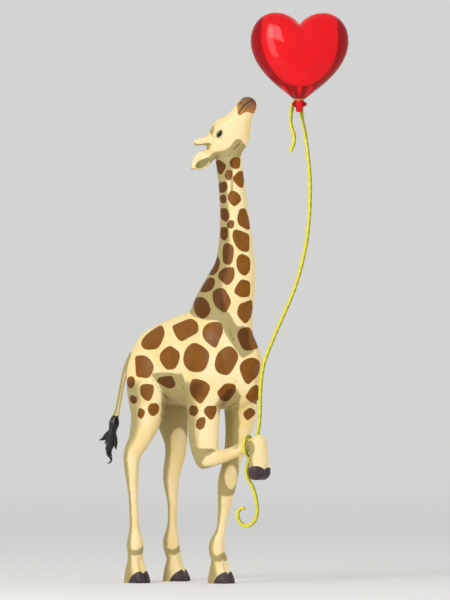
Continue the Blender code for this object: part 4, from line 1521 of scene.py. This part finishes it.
def make_tie():
    """A narrow ribbed band: its section is spun round the neck."""
    inner, outer = balloon_neck_radius + fit_gap, balloon_neck_radius + fit_gap + tie_thickness
    half = tie_height / 2
    rib_spacing = half * 0.6
    section = [(inner, -half), (outer - rib_height, -half)]
    for rib in (-1, 0, 1):
        middle = rib * rib_spacing
        section += [(outer, middle - rib_half_width), (outer, middle + rib_half_width)]
        if rib < 1:
            section.append((outer - rib_height, middle + rib_spacing / 2))
    section += [(outer - rib_height, half), (inner, half)]
    piece = mesh_piece("balloon_tie_band", [beside_tie(x, 0, z) for x, z in section], [])
    count = len(section)
    data = piece.data
    data.edges.add(count)
    for k in range(count):
        data.edges[k].vertices = (k, (k + 1) % count)
    with all_in_edit(piece):
        bpy.ops.mesh.spin(steps=96, angle=2 * math.pi, center=beside_tie(0, 0, 0), axis=UP)
    right_side_out(piece)
    shade_smooth(piece, 40)
    own(piece, "balloon_tie", tie_paint(), "balloon_tie")


def tie_paint():
    paint = Paint("tie_gilding", IOR=1.5, Coat_Weight=0.4)
    tone = paint.step(paint.noise(260, 2), 0.3, 0.7)
    gilding = paint.mix(tone, TIE_GOLD, TIE_GOLD_WORN)
    paint.cover(Base_Color=gilding, Roughness=0.28 + tone * 0.12, Metallic=0.35)
    return paint.material


# The string. Its short end and its bend lie beside the tie, (right, back, up), the rest on the body's places
STRING_SHORT_END = [
    (-18.6, 13, -108),
    (-13.4, 13, -96),
    (-10.3, 13, -83.5),
    (-11.3, 13, -71),
    (-15.5, 14, -58.5),
    (-17.5, 15, -46),
    (-17.0, 15.4, -33),
]
STRING_BEND_MIDDLE = (-4.4, -13.5)
string_bend_radius = 0.0095
STRING_FROM_BEND = [(5.0, 15.2, -28), (6.6, 12, -42.3), (10.7, 8, -61.4), (14, 5, -83.5)]
STRING_RUN = [
    (223, 57, 886),
    (228, 57, 839),
    (230, 54, 790),
    (229, 50, 740),
    (224, 45, 691),
    (215, 37, 641),
    (202, 27, 592),
    (184, 14, 542),
    (167, 2, 493),
    (156, -8, 452),
    (152, -14, 405),
    (153, -18, 360),
    (152, -20, 330),
    (149, -23, 305),
]
# The turn round the raised wrist: where it starts, how far forward it ends, and its rise for each of those
WRAP = (147, -45, 286)
WRAP_STEP = -9
wrap_slope = 0.3
wrist_radius = 0.0135
STRING_HANG = [
    (134, -27, 262),
    (129, -31, 241),
    (129, -32, 228),
    (133, -29, 214),
    (140, -25, 200),
    (146, -22, 175),
    (148, -21, 150),
    (145, -23, 135),
    (139, -26, 126),
    (131, -31, 121),
    (122, -36, 123),
    (115, -40, 133),
    (113, -41, 144),
    (116, -39, 153),
    (121, -36, 157),
    (127, -33, 155),
]
bend_corners = 10
wrap_corners = 20
string_step = 0.0016
string_corners = 24
strand_count = 3
twist_pitch = 0.018
string_groove = 0.0005
string_shade_edge = 0.25
# The shares of its thickness that the cord has at its very end and next to it
string_end, string_next = 0.55, 0.85
# Where the cord runs under the knot, in metres from its short end, and how far the painted shade there reaches
string_top = 0.130
string_top_reach = 0.075


def string_points():
    back = balloon_neck_radius + fit_gap + tie_thickness + string_clearance + string_diameter / 2
    from_tie = [beside_tie(*(share(value) for value in row)) for row in STRING_SHORT_END]
    points = list(smooth_curve(from_tie, 2))
    right, up = (share(value) for value in STRING_BEND_MIDDLE)
    for k in range(bend_corners + 1):
        angle = math.pi * (1 - k / bend_corners)
        out = (string_bend_radius * math.cos(angle), string_bend_radius * math.sin(angle))
        points.append(beside_tie(right + out[0], back, up + out[1]))
    run = [points[-1]]
    run += [beside_tie(*(share(value) for value in row)) for row in STRING_FROM_BEND]
    run += [place(*row) for row in STRING_RUN]
    wrap = []
    radius = wrist_radius * giraffe_height + wrap_clearance + string_diameter / 2
    for k in range(wrap_corners + 1):
        turn = 2 * math.pi * k / wrap_corners
        forward = WRAP[0] + WRAP_STEP * k / wrap_corners
        middle = place(forward, WRAP[1], WRAP[2] + wrap_slope * (forward - WRAP[0]))
        wrap.append(middle + ACROSS * radius * math.cos(turn) - UP * radius * math.sin(turn))
    points += list(smooth_curve([*run, wrap[0]], 2))[1:]
    points += wrap[1:]
    points += list(smooth_curve([wrap[-1], *(place(*row) for row in STRING_HANG)], 2))[1:]
    return np.array([tuple(point) for point in points])


def even_run(points, step):
    """The same run with its spots an even step apart."""
    fine = smooth_curve(points, 8)
    walked = np.concatenate([[0], np.cumsum(np.linalg.norm(np.diff(fine, axis=0), axis=1))])
    stops = np.linspace(0, walked[-1], int(walked[-1] / step) + 1)
    return np.stack([np.interp(stops, walked, fine[:, axis]) for axis in range(3)], 1)


def make_string():
    """One cord. Its strands are laid so close that they only show as fine slanting grooves."""
    run = even_run(string_points(), string_step)
    count = len(run)
    shares = np.ones(count)
    shares[[0, -1]] = string_end
    shares[[1, -2]] = string_next
    radii = string_diameter / 2 * shares
    cord = swept("twisted_string", run, np.stack([radii, radii], 1), string_corners)
    spots = spots_of(cord).reshape(count, string_corners, 3)
    turns = np.arange(string_corners) * 2 * math.pi / string_corners
    twist = np.arange(count)[:, None] * string_step * 2 * math.pi / twist_pitch
    groove = np.abs(np.sin((strand_count * turns[None, :] - twist) / 2)) ** 0.5
    shrink = 1 - string_groove / (string_diameter / 2) * (1 - groove)
    middles = run[:, None, :]
    move_spots(cord, middles + (spots - middles) * shrink[:, :, None])
    shade_smooth(cord)
    normals = np.array([tuple(corner.normal) for corner in cord.data.vertices])
    # Painted shade: olive where the cord turns to the viewer's right and where it runs under the knot
    shade = normals @ np.array(VIEWER_RIGHT) - string_shade_edge
    walked = np.repeat(np.arange(count) * string_step, string_corners)
    top = np.clip(1 - np.abs(walked - string_top) / string_top_reach, 0, 1)
    carry_field(cord, "shade", shade + 1.2 * top)
    own(cord, "balloon_string", string_paint(), "balloon_string")


def string_paint():
    """Two yellows: lit on the viewer's left, and painted olive shade on the right and under the knot."""
    paint = Paint("string_enamel", IOR=1.5)
    streak = paint.noise(420, 2)
    tone = paint.step(streak, 0.3, 0.7)
    light = paint.mix(tone, STRING_YELLOW, STRING_YELLOW_WORN)
    dark = paint.mix(tone, STRING_PAINTED_SHADE, STRING_PAINTED_SHADE_WORN)
    shade = paint.step(paint.field("shade") + (streak - 0.5) * 0.3, -0.08, 0.08)
    paint.cover(Base_Color=paint.mix(shade, light, dark), Roughness=0.4 + tone * 0.1)
    paint.bump(streak, 0.0003, 0.3)
    return paint.material


def make_all():
    make_camera()
    make_floor()
    make_light()
    make_eyes(make_skin())
    make_tuft()
    make_balloon()
    make_tie()
    make_string()


make_all()
